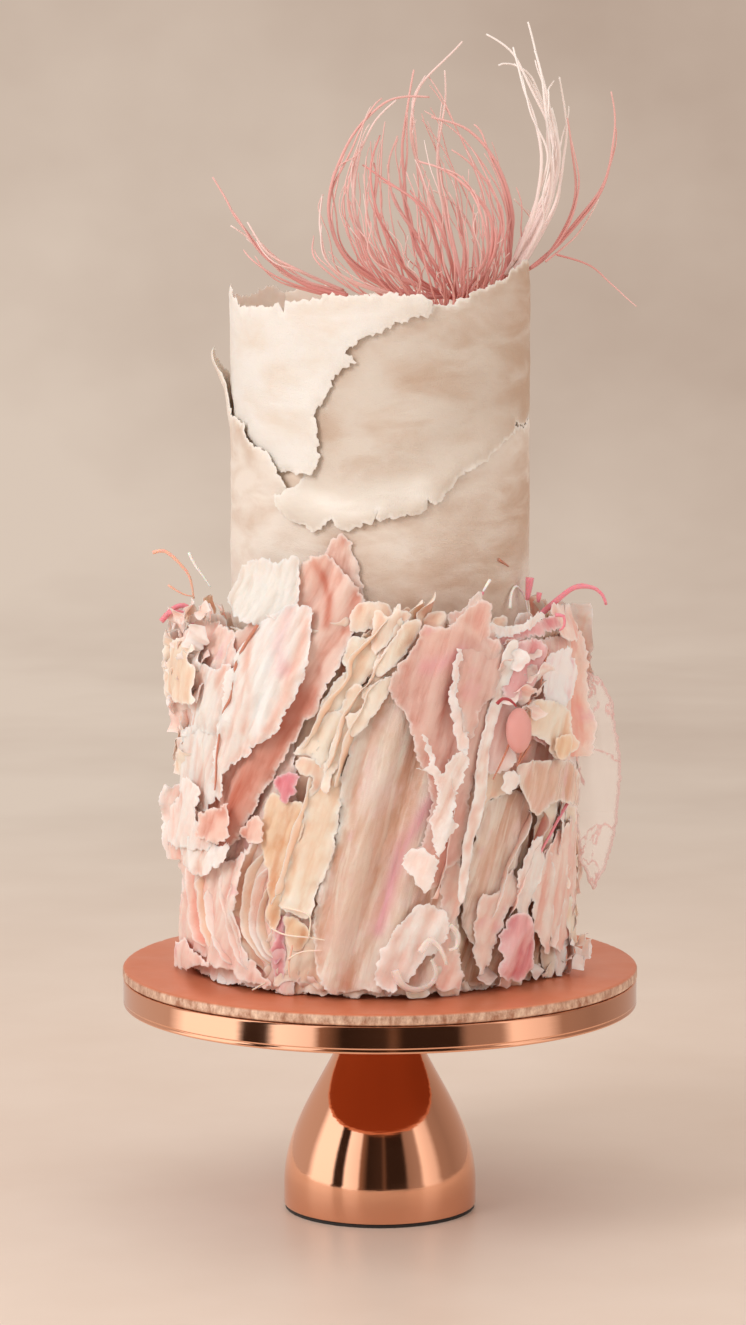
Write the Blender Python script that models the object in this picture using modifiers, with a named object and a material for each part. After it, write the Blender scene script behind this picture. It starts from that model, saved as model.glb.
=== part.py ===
"""Two-tier celebration cake on a footed stand.

The upper tier is wrapped in torn sheets of rolled sugar paste that stand up above its top as a
ragged collar. The lower tier is covered in leaning, overlapping ruffles of thin wafer paper, with
larger drapes, petals and a clear film on top of them. A tuft of fine sugar threads rises from the
collar. The cake sits on a foil-covered board on a mirror-polished copper stand.

Metres, +Z up. The origin is the middle of the foot's underside and the front faces -Y. A bearing is
an angle round the cake seen from above: 0 is the front and +90 is the right-hand side. Heights in
the outlines are in millimetres above the board.
"""

import math

import bmesh
import bpy
from mathutils import Matrix, Vector, geometry, noise

MM = 0.001
REST_GAP = 0.3 * MM

# Stand
FOOT_RADIUS = 48.6 * MM
FOOT_PAD_HEIGHT = 1.5 * MM
NECK_RADIUS = 12.5 * MM
STAND_HEIGHT = 118.7 * MM
PLATE_RADIUS = 129.2 * MM
PLATE_BAND = 13.2 * MM
PLATE_RECESS = 1.2 * MM
BOARD_RADIUS = 129.5 * MM
BOARD_THICKNESS = 5.7 * MM

# Cake
BOARD_TOP = STAND_HEIGHT + REST_GAP + BOARD_THICKNESS
CAKE_BASE = BOARD_TOP + REST_GAP
LOWER_TIER_RADIUS = 82.0 * MM
LOWER_TIER_HEIGHT = 166.0 * MM
UPPER_TIER_RADIUS = 72.0 * MM
UPPER_TIER_HEIGHT = 157.0 * MM
TIER_EDGE = 4.0 * MM
UPPER_TIER_TOP = LOWER_TIER_HEIGHT + REST_GAP + UPPER_TIER_HEIGHT
PASTE_THICKNESS = 1.3 * MM
PASTE_RADIUS = UPPER_TIER_RADIUS + 1.0 * MM
WAFER_THICKNESS = 1.0 * MM

COPPER = (0.86, 0.47, 0.33)
CREAM = (0.90, 0.83, 0.74)
PINK = (0.92, 0.66, 0.63)
PEACH = (0.93, 0.76, 0.62)
WHITE = (0.94, 0.90, 0.87)


def finish(name, colour, roughness, metallic=0.0):
    """A plain Principled finish for one sub-part."""
    material = bpy.data.materials.new(name)
    material.use_nodes = True
    shader = material.node_tree.nodes["Principled BSDF"]
    shader.inputs["Base Color"].default_value = (*colour, 1.0)
    shader.inputs["Roughness"].default_value = roughness
    shader.inputs["Metallic"].default_value = metallic
    return material


def new_object(name, data, material):
    thing = bpy.data.objects.new(name, data)
    cake.objects.link(thing)
    data.materials.append(material)
    return thing


def thickened(piece, thickness):
    """Gives an open sheet its thickness, on the side that its faces look to."""
    shell = piece.modifiers.new("thickness", "SOLIDIFY")
    shell.thickness = thickness
    shell.offset = 1.0
    return piece


def around(bearing, radius, height):
    """The point at a bearing in degrees and a radius from the cake's axis."""
    angle = math.radians(bearing)
    return Vector((radius * math.sin(angle), -radius * math.cos(angle), height))


def turned(name, profile, material, steps=48):
    """A turned piece: the profile runs from the top at the axis down its outer side."""
    mesh = bpy.data.meshes.new(name)
    edges = [(i, i + 1) for i in range(len(profile) - 1)]
    mesh.from_pydata([(radius, 0, height) for radius, height in profile], edges, [])
    piece = new_object(name, mesh, material)
    screw = piece.modifiers.new("turn", "SCREW")
    screw.steps = screw.render_steps = steps
    screw.use_merge_vertices = True
    screw.merge_threshold = 0.00001
    screw.use_smooth_shade = True
    return piece


def bezier(a, b, c, d, steps):
    """Points along one cubic curve, both ends included."""
    points = []
    for i in range(steps + 1):
        t = i / steps
        u = 1 - t
        weights = (u * u * u, 3 * u * u * t, 3 * u * t * t, t * t * t)
        points.append(tuple(sum(w * p[k] for w, p in zip(weights, (a, b, c, d))) for k in (0, 1)))
    return points


# Stand: a rubber pad, a spun bell foot and a flat plate with a turned-down band

def build_stand():
    rubber = finish("rubber", (0.02, 0.02, 0.02), 0.6)
    copper = finish("polished copper", COPPER, 0.08, 1.0)
    pad_radius = FOOT_RADIUS - 0.6 * MM
    turned("foot_pad", [(0, FOOT_PAD_HEIGHT), (pad_radius, FOOT_PAD_HEIGHT), (pad_radius, 0), (0, 0)],
           rubber, 40)

    foot_bottom = FOOT_PAD_HEIGHT + REST_GAP
    foot_top = STAND_HEIGHT - PLATE_BAND + PLATE_RECESS - REST_GAP
    straight_top = 12 * MM
    bell = bezier((NECK_RADIUS, foot_top), (21.5 * MM, 71 * MM), (FOOT_RADIUS, 48 * MM),
                  (FOOT_RADIUS, straight_top), 8)
    turned("foot", [(0, foot_top), *bell, (FOOT_RADIUS, foot_bottom + 0.4 * MM),
                    (FOOT_RADIUS - 0.4 * MM, foot_bottom), (0, foot_bottom)], copper, 36)

    underside = STAND_HEIGHT - PLATE_BAND
    lip = 0.8 * MM
    turned("plate", [(0, STAND_HEIGHT), (PLATE_RADIUS - lip, STAND_HEIGHT),
                     (PLATE_RADIUS, STAND_HEIGHT - lip), (PLATE_RADIUS, underside + lip),
                     (PLATE_RADIUS - lip, underside), (PLATE_RADIUS - 4 * MM, underside),
                     (PLATE_RADIUS - 4.8 * MM, underside + PLATE_RECESS),
                     (0, underside + PLATE_RECESS)], copper, 48)


def build_board():
    foil = finish("copper foil", (0.72, 0.36, 0.28), 0.35, 1.0)
    bottom = STAND_HEIGHT + REST_GAP
    edge = 1.0 * MM
    turned("board", [(0, BOARD_TOP), (BOARD_RADIUS - edge, BOARD_TOP),
                     (BOARD_RADIUS, BOARD_TOP - edge), (BOARD_RADIUS, bottom + edge),
                     (BOARD_RADIUS - edge, bottom), (0, bottom)], foil, 48)


def build_tiers():
    icing = finish("icing", CREAM, 0.6)
    upper_base = CAKE_BASE + LOWER_TIER_HEIGHT + REST_GAP
    for name, radius, bottom, height in (
        ("lower_tier", LOWER_TIER_RADIUS, CAKE_BASE, LOWER_TIER_HEIGHT),
        ("upper_tier", UPPER_TIER_RADIUS, upper_base, UPPER_TIER_HEIGHT),
    ):
        top = bottom + height
        eased = 0.3 * TIER_EDGE
        turned(name, [(0, top), (radius - TIER_EDGE, top), (radius - eased, top - eased),
                      (radius, top - TIER_EDGE), (radius, bottom), (0, bottom)], icing, 40)


# Sheets cut to an outline: the outline is drawn flat, torn, filled with triangles and laid on

TEAR = 2.2
TEAR_SCALE = 0.11


def catmull_rom(before, start, end, after, t):
    return 0.5 * (2 * start + (end - before) * t + (2 * before - 5 * start + 4 * end - after) * t * t
                  + (3 * start - before - 3 * end + after) * t * t * t)


def torn(point, tear):
    """Moves a point of an outline by a field of noise, so that neighbours tear alike."""
    x, y = point.x * TEAR_SCALE, point.y * TEAR_SCALE
    shift = Vector((noise.noise(Vector((x, y, 3.7))), noise.noise(Vector((x, y, 47.3)))))
    return point + tear * shift


def outline_points(corners, step, tear):
    """A closed smooth curve through the corners, walked in even steps and torn."""
    points = []
    count = len(corners)
    for i, start in enumerate(corners):
        before, end, after = corners[i - 1], corners[(i + 1) % count], corners[(i + 2) % count]
        pieces = max(1, round((end - start).length / step))
        for k in range(pieces):
            points.append(torn(catmull_rom(before, start, end, after, k / pieces), tear))
    return points


def filled(outline, step):
    """Triangles that fill a flat outline, with a field of points about one step apart inside it."""
    low_x, high_x = min(p.x for p in outline), max(p.x for p in outline)
    low_y, high_y = min(p.y for p in outline), max(p.y for p in outline)
    inner = []
    rows = int((high_y - low_y) / (step * 0.87)) + 1
    columns = int((high_x - low_x) / step) + 1
    for row in range(rows):
        for column in range(columns):
            spot = Vector((low_x + (column + 0.5 * (row % 2)) * step, low_y + row * step * 0.87))
            if min((spot - p).length for p in outline) > 0.62 * step:
                inner.append(spot)
    count = len(outline)
    edges = [(i, (i + 1) % count) for i in range(count)]
    points, _, faces, _, _, _ = geometry.delaunay_2d_cdt(outline + inner, edges, [], 1, 0.001)
    return points, faces


def sheet(name, corners, to_space, thickness, material, step=14.0, tear=TEAR):
    """A thin torn sheet: flat corners in millimetres, and a rule that lays a flat point in space."""
    points, faces = filled(outline_points([Vector(c) for c in corners], step, tear), step)
    used = sorted({i for face in faces for i in face})
    place = {old: new for new, old in enumerate(used)}
    mesh = bpy.data.meshes.new(name)
    mesh.from_pydata([to_space(points[i]) for i in used], [],
                     [[place[i] for i in face] for face in faces])
    return thickened(new_object(name, mesh, material), thickness)


def distance_to_line(point, line):
    """Distance in millimetres from a flat point to a line of flat points."""
    best = 1e9
    for start, end in zip(line, line[1:]):
        near, share = geometry.intersect_point_line(point, start, end)
        near = start if share < 0 else end if share > 1 else near
        best = min(best, (point - Vector(near[:2])).length)
    return best


def girth(bearing, radius):
    """Millimetres round the tier from the front to a bearing."""
    return math.radians(bearing) * radius / MM


def flat(points, radius):
    """Bearing and height pairs as flat points: millimetres round the tier and above the board."""
    return [Vector((girth(bearing, radius), height)) for bearing, height in points]


def lifted(lines, radius):
    """A rule for how far an edge lifts: near each line by its height, fading over its reach."""
    laid = [(flat(line, radius), height, reach) for line, height, reach in lines]

    def lift(point):
        return sum(height * math.exp(-(distance_to_line(point, line) / reach) ** 2)
                   for line, height, reach in laid) * MM
    return lift


def paste_sheet(name, corners, lift_lines, material):
    lift = lifted(lift_lines, PASTE_RADIUS)

    def lay(point):
        bearing = math.degrees(point.x * MM / PASTE_RADIUS)
        return around(bearing, PASTE_RADIUS + lift(point), CAKE_BASE + point.y * MM)
    sheet(name, flat(corners, PASTE_RADIUS), lay, PASTE_THICKNESS, material)


# Upper tier's paste sheets, each a list of bearing and height

LEFT_SHEET_EDGE = [(19.5, 334), (19, 328), (12, 326.5), (5, 323.5), (-0.4, 320), (-6, 316.5),
                   (-12, 311), (-9, 305.5), (-15, 302.5), (-19.5, 291), (-24.5, 281), (-22.3, 267),
                   (-23.7, 253)]
CRACK = [(-38.5, 249.5), (-40.5, 255), (-45, 259), (-51.5, 262.5), (-58.5, 269), (-60.5, 274),
         (-72, 279)]
FLAP_EDGE = [(-77, 284), (-82, 296), (-88, 307), (-96, 309), (-104, 301), (-116, 291), (-132, 290)]
TONGUE_EDGE = [(-39.9, 241), (-37.5, 232), (-31.5, 227.5), (-23.7, 224), (-18, 229), (-12.7, 225),
               (1.4, 230.5), (15.5, 234.3), (24, 241), (30.8, 250.8), (41.9, 257.5), (48.3, 263.5),
               (57.4, 269.7), (61, 275)]
LEVEL_JOINT = [(75, 273), (95, 277), (110, 272), (124, 274)]


def build_paste_sheets():
    paste = finish("rolled paste", CREAM, 0.65)
    left_rim = [(-138, 333), (-126, 337), (-112, 333), (-96, 336), (-88, 340), (-70, 331.5),
                (-50, 331.5), (-40, 333.5), (-13, 337.5), (7, 338), (17, 336.5)]
    left_foot = [(-30, 251.5), (-37, 252.5), (-43, 253), (-52, 258), (-61, 268), (-73, 274),
                 (-81, 281), (-89, 293), (-101, 295), (-117, 286), (-133, 285), (-148, 285)]
    paste_sheet("left_sheet", left_foot[::-1] + LEFT_SHEET_EDGE[::-1] + left_rim[::-1],
                [(LEFT_SHEET_EDGE, 3.0, 12), ([(-30, 251.5), (-29, 252)], 2.0, 9)], paste)

    right_rim = [(117, 333), (107, 337), (95, 341), (84, 350), (76.5, 352.5), (61.5, 348.5),
                 (51, 342.5), (40, 339.5), (31, 334.5), (22.5, 333.7), (15, 333)]
    under_left = [(11.8, 331.5), (4.8, 328.5), (-0.4, 325), (-7, 321), (-15.5, 315), (-14.5, 305.5),
                  (-19.5, 303.5), (-24, 292), (-28.5, 282), (-26.5, 267), (-28, 257), (-31.5, 248),
                  (-36.5, 243)]
    paste_sheet("right_sheet", TONGUE_EDGE + LEVEL_JOINT + right_rim + under_left,
                [(TONGUE_EDGE[1:-1], 3.2, 11), ([(-39.9, 241), (-39, 239)], 4.2, 10)], paste)

    seam = 179.6
    foot = 4.6 + LOWER_TIER_HEIGHT / MM
    under_tongue = [(-36, 244.5), (-32, 237), (-24, 230.5), (-17.5, 235.5), (-12.5, 231.5),
                    (1.4, 237), (15, 241), (23, 247), (30, 257), (41, 263.5), (48, 270), (56, 274),
                    (62, 273.6)]
    level = [(bearing, height - 1.0) for bearing, height in LEVEL_JOINT[:-1]]
    top = [(-seam, 208), (-165, 209), (-152, 212), (-148, 222), (-144, 282), *FLAP_EDGE[::-1],
           *CRACK[::-1], *under_tongue, *level, (121, 267), (126, 222), (132, 211), (150, 209),
           (seam, 208)]
    bottom = [(-seam + i * seam / 6, foot) for i in range(13)]
    lip = [(-146, 284), *FLAP_EDGE[::-1], *CRACK[::-1]]
    paste_sheet("lower_sheet", bottom + top[::-1],
                [(lip, 3.0, 12), ([(-102, 305), (-88, 307)], 7.0, 13)], paste)

    back_rim = [(224, 334), (205, 338), (190, 332), (172, 337), (155, 334), (138, 339), (112, 335)]
    back_foot = [(127, 205), (137, 199), (150, 204), (163, 208), (178, 202), (195, 206), (211, 204)]
    sides = [[(110, 330), (117, 290), (119, 240), (124, 210)],
             [(213, 210), (217, 240), (219, 290), (226, 330)]]
    paste_sheet("back_sheet", back_foot + sides[1] + back_rim + sides[0],
                [(sides[0], 4.2, 13), (sides[1], 6.0, 14), (back_foot, 4.6, 15)], paste)


# Lower tier's ruffles: a leaning strip with one edge on the cake and one edge standing free

RUFFLE_TILT = 20.0
RUFFLE_WIDTH = 43.0
RUFFLE_LEAN = 0.2
RUFFLE_COUNT = 11
RUFFLE_START = -62.0
RUFFLE_SPACING = -20.0
HIGH_RUFFLE_FOOT = 112.0


def ruffle(name, bearing, foot, head, width, tilt, material, lean=RUFFLE_LEAN, wave=2.0,
           wavelength=46.0, phase=0.0, root=0.6, along=7, across=4, side=-1):
    """Heights are above the board, the bearing is where the fixed edge meets the board, the tilt
    is the angle between the strip and the tier's side, and side says which way the free edge lies."""
    root_radius = LOWER_TIER_RADIUS + root * MM
    slope = math.radians(tilt)
    mesh = bpy.data.meshes.new(name)
    verts = []
    for i in range(along + 1):
        share = i / along
        height = foot + (head - foot) * share
        tear = noise.noise(Vector((phase * 3.1, height * 0.035, 1.3)))
        reach = width * (0.86 + 0.3 * tear) * (1 - 0.25 * (2 * share - 1) ** 4)
        for k in range(across + 1):
            out = k / across
            swell = wave * out * math.sin(math.tau * height / wavelength + phase)
            outward = max(0.0, reach * out * math.sin(slope) + swell * math.cos(slope))
            sideways = reach * out * math.cos(slope) - swell * math.sin(slope)
            turn = bearing + lean * height + side * math.degrees(sideways * MM / root_radius)
            sag = 12.0 * out * share * (1 - share) * math.sin(phase + 1.7 * share)
            verts.append(around(turn, root_radius + outward * MM, CAKE_BASE + (height + sag) * MM))
    faces = []
    for i in range(along):
        for k in range(across):
            a = i * (across + 1) + k
            b = a + across + 1
            corners = (a, b, b + 1, a + 1)
            faces.append(corners if side < 0 else corners[::-1])
    mesh.from_pydata(verts, [], faces)
    return thickened(new_object(name, mesh, material), WAFER_THICKNESS)


def build_ruffles():
    kinds = [finish("pink wafer", PINK, 0.55), finish("cream wafer", CREAM, 0.55),
             finish("peach wafer", PEACH, 0.55), finish("white wafer", WHITE, 0.5)]
    order = (0, 1, 0, 2, 3, 0, 1, 0, 2, 0, 3)
    for i in range(RUFFLE_COUNT):
        head = 171.0 + 6.0 * math.sin(2.4 * i) + 4.0 * math.sin(5.1 * i + 1.0)
        first = i == 0
        ruffle(f"ruffle_{i + 1:02d}", RUFFLE_START + i * RUFFLE_SPACING, 0.4, head,
               RUFFLE_WIDTH - (5.0 if first else 0.0), RUFFLE_TILT - (6.0 if first else 0.0),
               kinds[order[i]], phase=2.39996 * i, wavelength=44.0 + 8.0 * math.sin(3.3 * i))
    for i, width in enumerate((33.0, 33.0, 20.0)):
        ruffle(f"high_ruffle_{i + 1}", 38.0 + 20.0 * i, HIGH_RUFFLE_FOOT, 172.0 + 5.0 * i, width,
               RUFFLE_TILT - 5.0, kinds[i % 2], phase=1.1 * i, along=5)
    for i in range(6):
        ruffle(f"cream_fin_{i + 1}", -31.6 + 3.0 * i, 2.0 + 5.0 * (i % 2), 178.0 + 3.5 * i,
               20.0 - 1.0 * i, 52.0, kinds[1 + i % 2], lean=0.18, wave=1.6, wavelength=38.0,
               phase=0.4, across=3)
    for i in range(3):
        ruffle(f"cream_pleat_{i + 1}", -50.5 + 5.0 * i, 1.0, 92.0 + 8.0 * i, 15.0, 44.0,
               kinds[(1, 3, 2)[i]], lean=0.15, wavelength=70.0, phase=0.2, along=6, across=3)
    ruffle("left_tab", -86.0, 130.0, 168.0, 15.0, 70.0, kinds[1], lean=0.0, along=4, root=15.5,
           across=3)
    ruffle("white_tab", -84.0, 54.0, 92.0, 15.0, 70.0, kinds[3], lean=0.0, along=4, root=15.5,
           phase=2.0, across=3)
    ruffle("flank_sheet", 83.0, 106.0, 168.0, 23.0, 64.0, kinds[0], lean=0.0, wave=1.5, along=6,
           root=6.5, side=1, across=3)


# Lower tier's drapes: folded sheets laid over the ruffles at the front

DRAPE_RADIUS = LOWER_TIER_RADIUS + 16 * MM


def draped_sheet(name, corners, stand, material, fold=0.0, pitch=30.0, lean=0.17, phase=0.0,
                 lifts=(), fall=0.0, step=9.0, tear=1.4):
    """The stand is the sheet's middle distance from the tier, its folds run up the cake with the
    lean, and the fall is how far it leans back towards the upper tier above the lower one."""
    lift = lifted(lifts, DRAPE_RADIUS)
    ledge, brow = 150.0, 205.0

    def lay(point):
        bearing = math.degrees(point.x * MM / DRAPE_RADIUS)
        across = girth(bearing - lean * point.y, DRAPE_RADIUS)
        rise = min(1.0, max(0.0, (point.y - ledge) / (brow - ledge)))
        back = fall * rise * rise * (3 - 2 * rise)
        out = stand + fold * math.sin(math.tau * across / pitch + phase) - back
        return around(bearing, LOWER_TIER_RADIUS + out * MM + lift(point), CAKE_BASE + point.y * MM)
    sheet(name, flat(corners, DRAPE_RADIUS), lay, WAFER_THICKNESS, material, step, tear)


def build_drapes():
    pink = finish("pink drape", PINK, 0.5)
    clear = finish("translucent wafer", (0.93, 0.84, 0.76), 0.3)
    drape_edge = [(-6.4, 194), (-8.2, 177), (-13.5, 155), (-24.7, 124), (-35, 98), (-48.5, 69)]
    draped_sheet("pink_drape", [*drape_edge, (-61.7, 77), (-61, 86), (-53, 99), (-50.5, 126),
                                (-51, 157), (-45, 180), (-36, 196), (-20, 213)],
                 17.5, pink, fold=1.6, pitch=26.0, lean=0.3, fall=20.0)
    strip = [(-6.6, 199), (-7.7, 171), (-14, 171), (-20, 186), (-21, 205), (-18.7, 219), (-12, 221)]
    draped_sheet("pink_strip", strip, -6.0, pink, step=12.0)
    centre = [(-4.7, 4.4), (9.4, 6), (18.5, 12.8), (21.3, 29.6), (22.2, 68.3), (28, 92.5), (28, 114),
              (25, 139), (21.1, 156.4), (12.9, 163), (1.4, 157), (-1.2, 149.6), (-9.9, 115.6),
              (-11.7, 84.7), (-17.2, 56.4), (-19.1, 29.8), (-15.4, 6.8)]
    draped_sheet("centre_sheet", centre, 14.2, clear, fold=1.8, pitch=27.0, lean=0.16, phase=1.9,
                 lifts=[(centre[-7:], 3.4, 13)])
    veil = [(11.3, 181), (18.7, 182), (24, 190), (30.7, 191.6), (30.6, 175.3), (33.9, 168.8),
            (30.2, 129), (25.6, 105), (23.7, 83), (21.2, 68), (13.2, 56), (9, 69), (13.2, 87.4),
            (13, 106), (9, 120), (6, 140), (2.4, 155), (8.6, 171)]
    draped_sheet("pink_veil", veil, 20.6, pink, fold=0.9, pitch=24.0, step=10.0)
    ribbon = [(38.6, 170), (34.2, 147), (29.8, 122), (29, 99), (25, 76), (22.5, 50), (20.5, 51),
              (22, 76), (25, 99), (26.2, 122), (30.6, 147), (34.8, 171)]
    draped_sheet("cream_ribbon", ribbon, 23.6, finish("cream ribbon", CREAM, 0.4), step=14.0,
                 tear=0.5)
    fan = [(24.9, 103), (33.3, 106.9), (42.8, 101), (52.7, 108), (68, 106), (84, 101), (83, 83),
           (76, 58.4), (64.9, 11.8), (59, 4), (45.8, 3.8), (23.1, 5), (21.6, 22.8), (23, 67.7)]
    draped_sheet("beige_fan", fan, 6.6, clear, fold=2.2, pitch=26.0, lean=0.22)


def build_petals():
    """Small cupped petals of wafer paper and a round bud, beside the top of the beige fan."""
    pale = finish("white petal", WHITE, 0.45)
    rose = finish("pink petal", (0.90, 0.55, 0.60), 0.5)
    petals = (("white_petal", 59.0, 151.0, 21.0, 17.0, 15.0, pale),
              ("pink_petal_1", 42.0, 159.0, 18.5, 12.0, 13.0, rose),
              ("pink_petal_2", 51.0, 131.0, 20.0, 9.0, 12.0, rose),
              ("cream_petal", 64.0, 122.0, 18.0, 11.0, 12.0, pale))
    for name, bearing, height, stand, half_width, half_height, material in petals:
        centre = Vector((girth(bearing, DRAPE_RADIUS), height))
        rim = [centre + Vector((half_width * math.cos(math.radians(turn)),
                                half_height * math.sin(math.radians(turn))))
               for turn in range(0, 360, 36)]
        draped_sheet(name, [(math.degrees(p.x * MM / DRAPE_RADIUS), p.y) for p in rim], stand,
                     material, lifts=[([(bearing, height), (bearing, height + 0.1)], -3.0, 7)],
                     step=6.0, tear=1.6)
    ball = bmesh.new()
    size = Matrix.Diagonal((6 * MM, 5 * MM, 11 * MM, 1.0))
    bmesh.ops.create_uvsphere(ball, u_segments=10, v_segments=7, radius=1.0, matrix=size)
    mesh = bpy.data.meshes.new("wafer_bud")
    ball.to_mesh(mesh)
    ball.free()
    bud = new_object("wafer_bud", mesh, rose)
    bud.location = around(37.0, 110.5 * MM, CAKE_BASE + 130 * MM)
    mesh.shade_smooth()


def build_film():
    """A clear sheet standing out from the right side, face on to the front."""
    corners = [(99, 61), (98.2, 100), (98.5, 143), (108.1, 145), (116.1, 133.6), (119.4, 114.3),
               (121.5, 101.4), (120.5, 77.1), (116.6, 56), (108.7, 37.5), (103.9, 43)]

    def lay(point):
        bow = 4.0 + 0.02 * (point.x - 98.0) ** 2
        return Vector((point.x * MM, bow * MM, CAKE_BASE + point.y * MM))
    sheet("clear_film", [Vector(c) for c in corners], lay, WAFER_THICKNESS,
          finish("clear film", (0.9, 0.88, 0.86), 0.15), 11.0, 0.8)


# Tuft of sugar threads: a small mound with the threads that show fused on

TUFT_CENTRE = Vector((32.0, -6.0, 0.0))
THREAD_RADIUS = 0.62 * MM
DOME_THREADS = 25
GOLDEN_ANGLE = 2.39996
TUFT_FLOOR = (CAKE_BASE + LOWER_TIER_HEIGHT + 2 * REST_GAP + UPPER_TIER_HEIGHT) / MM
# Start, two pulls and end of each loose thread, in millimetres
LOOSE_THREADS = (
    ((28, -6, 451), (-10, -4, 456), (-62, 0, 468), (-78, 2, 512)),
    ((28, -4, 451), (-14, 4, 455), (-58, 8, 462), (-72, 6, 497)),
    ((28, -8, 451), (0, -12, 457), (-36, -14, 466), (-60, -8, 489)),
    ((36, -4, 451), (75, 10, 466), (106, 14, 500), (88, 8, 543)),
    ((36, -3, 451), (85, 12, 468), (118, 14, 500), (113, 10, 562)),
    ((36, -5, 451), (62, 14, 478), (92, 16, 484), (118, 14, 461)),
    ((37, -6, 451), (66, -2, 486), (102, 2, 535), (69, 0, 595)),
    ((37, -5, 451), (72, 4, 490), (104, 8, 530), (54, 2, 588)),
    ((36, -7, 451), (64, -8, 480), (96, -4, 540), (60, -6, 580)),
    ((37, -4, 451), (76, 6, 480), (92, 10, 530), (82, 6, 578)),
)


def dome_thread(i):
    """Start, two pulls and end of one of the threads that bow out and meet above the mound."""
    turn = i * GOLDEN_ANGLE
    out = Vector((math.cos(turn), math.sin(turn), 0.0))
    spread = 0.45 + 0.55 * math.sqrt((i + 0.5) / DOME_THREADS)
    start = TUFT_CENTRE + out * 4.0 + Vector((0, 0, 451))
    out.y *= 0.75
    low = TUFT_CENTRE + out * spread * (48 - 6 * out.x) + Vector((0, 0, 455))
    high = Vector((17, -4, 512)) + out * spread * (73 - 5 * out.x)
    tip = Vector((16, -2, 562 + 10 * math.sin(1.7 * i))) + out * 5
    return start, low, high, tip


def thread(pulls, share, points=9):
    """A thin tapering tube along the first share of a curve, as a mesh."""
    line = geometry.interpolate_bezier(*[Vector(p) for p in pulls], 40)
    line = [line[round(39 * share * k / (points - 1))] for k in range(points)]
    data = bpy.data.curves.new("thread", "CURVE")
    data.dimensions = "3D"
    data.bevel_depth = THREAD_RADIUS
    data.bevel_resolution = 0
    data.use_fill_caps = True
    spline = data.splines.new("POLY")
    spline.points.add(points - 1)
    for k, spot in enumerate(line):
        spline.points[k].co = (*(spot * MM), 1.0)
        spline.points[k].radius = 1.15 - 0.6 * k / (points - 1)
    curve = bpy.data.objects.new("thread", data)
    threads.objects.link(curve)
    bpy.context.view_layer.update()
    mesh = bpy.data.meshes.new_from_object(curve.evaluated_get(bpy.context.evaluated_depsgraph_get()))
    bpy.data.objects.remove(curve)
    weld = bmesh.new()
    weld.from_mesh(mesh)
    bmesh.ops.remove_doubles(weld, verts=weld.verts, dist=0.00001)
    weld.to_mesh(mesh)
    weld.free()
    threads.objects.link(bpy.data.objects.new("thread", mesh))


def build_tuft():
    coral = finish("sugar thread", (0.86, 0.50, 0.46), 0.45)
    floor = TUFT_FLOOR * MM
    mound = turned("tuft", [(0, floor + 5.5 * MM), (4.5 * MM, floor + 4.6 * MM),
                            (8 * MM, floor + 2.2 * MM), (9 * MM, floor), (0, floor)], coral, 16)
    mound.location = TUFT_CENTRE * MM
    for i in range(DOME_THREADS):
        thread(dome_thread(i), 0.62 + 0.38 * math.fmod(i * 0.618, 1.0))
    for pulls in LOOSE_THREADS:
        thread(pulls, 1.0, 11)
    join = mound.modifiers.new("threads", "BOOLEAN")
    join.operation = "UNION"
    join.operand_type = "COLLECTION"
    join.collection = threads
    join.solver = "MANIFOLD"
    bpy.context.view_layer.update()
    joined = bpy.data.meshes.new_from_object(mound.evaluated_get(bpy.context.evaluated_depsgraph_get()))
    mound.modifiers.clear()
    mound.data = joined
    for loose in list(threads.objects):
        bpy.data.objects.remove(loose)
    bpy.data.collections.remove(threads)


def clear_scene():
    for thing in list(bpy.data.objects):
        bpy.data.objects.remove(thing)


clear_scene()
cake = bpy.data.collections.new("tiered wedding cake")
threads = bpy.data.collections.new("threads")
bpy.context.scene.collection.children.link(cake)
bpy.context.scene.collection.children.link(threads)
build_stand()
build_board()
build_tiers()
build_paste_sheets()
build_ruffles()
build_drapes()
build_petals()
build_film()
build_tuft()
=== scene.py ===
"""Looks of a two-tier celebration cake on a copper stand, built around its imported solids.

The sections follow the cake as it is put together: view and studio, stand, board, tiers, the torn
paste sheets of the upper tier, the wafer ruffles, scraps, drapes, petals, layers, ribs and loose
threads of the lower tier, the clear film, and the tuft of sugar threads. Metres, +Z up, the front
faces -Y. A bearing is an angle round the cake: 0 is the front and +90 the right-hand side. Sheets
are measured in millimetres, their heights from the board's top.
"""

import math

import bpy
import numpy as np
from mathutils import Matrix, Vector, geometry, kdtree, noise


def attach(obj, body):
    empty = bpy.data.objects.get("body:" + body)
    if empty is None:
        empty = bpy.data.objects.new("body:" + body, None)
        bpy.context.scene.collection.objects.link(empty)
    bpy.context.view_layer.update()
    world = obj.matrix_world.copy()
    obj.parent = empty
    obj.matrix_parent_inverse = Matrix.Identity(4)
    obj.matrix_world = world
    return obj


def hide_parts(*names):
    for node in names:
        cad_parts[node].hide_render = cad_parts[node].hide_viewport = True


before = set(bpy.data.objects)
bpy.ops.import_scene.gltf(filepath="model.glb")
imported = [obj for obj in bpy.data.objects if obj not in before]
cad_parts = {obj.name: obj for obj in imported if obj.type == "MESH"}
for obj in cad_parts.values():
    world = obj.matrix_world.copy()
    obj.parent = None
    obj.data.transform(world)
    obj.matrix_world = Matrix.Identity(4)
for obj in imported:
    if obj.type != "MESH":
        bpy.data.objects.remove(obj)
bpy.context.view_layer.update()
MM = 0.001

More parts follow.
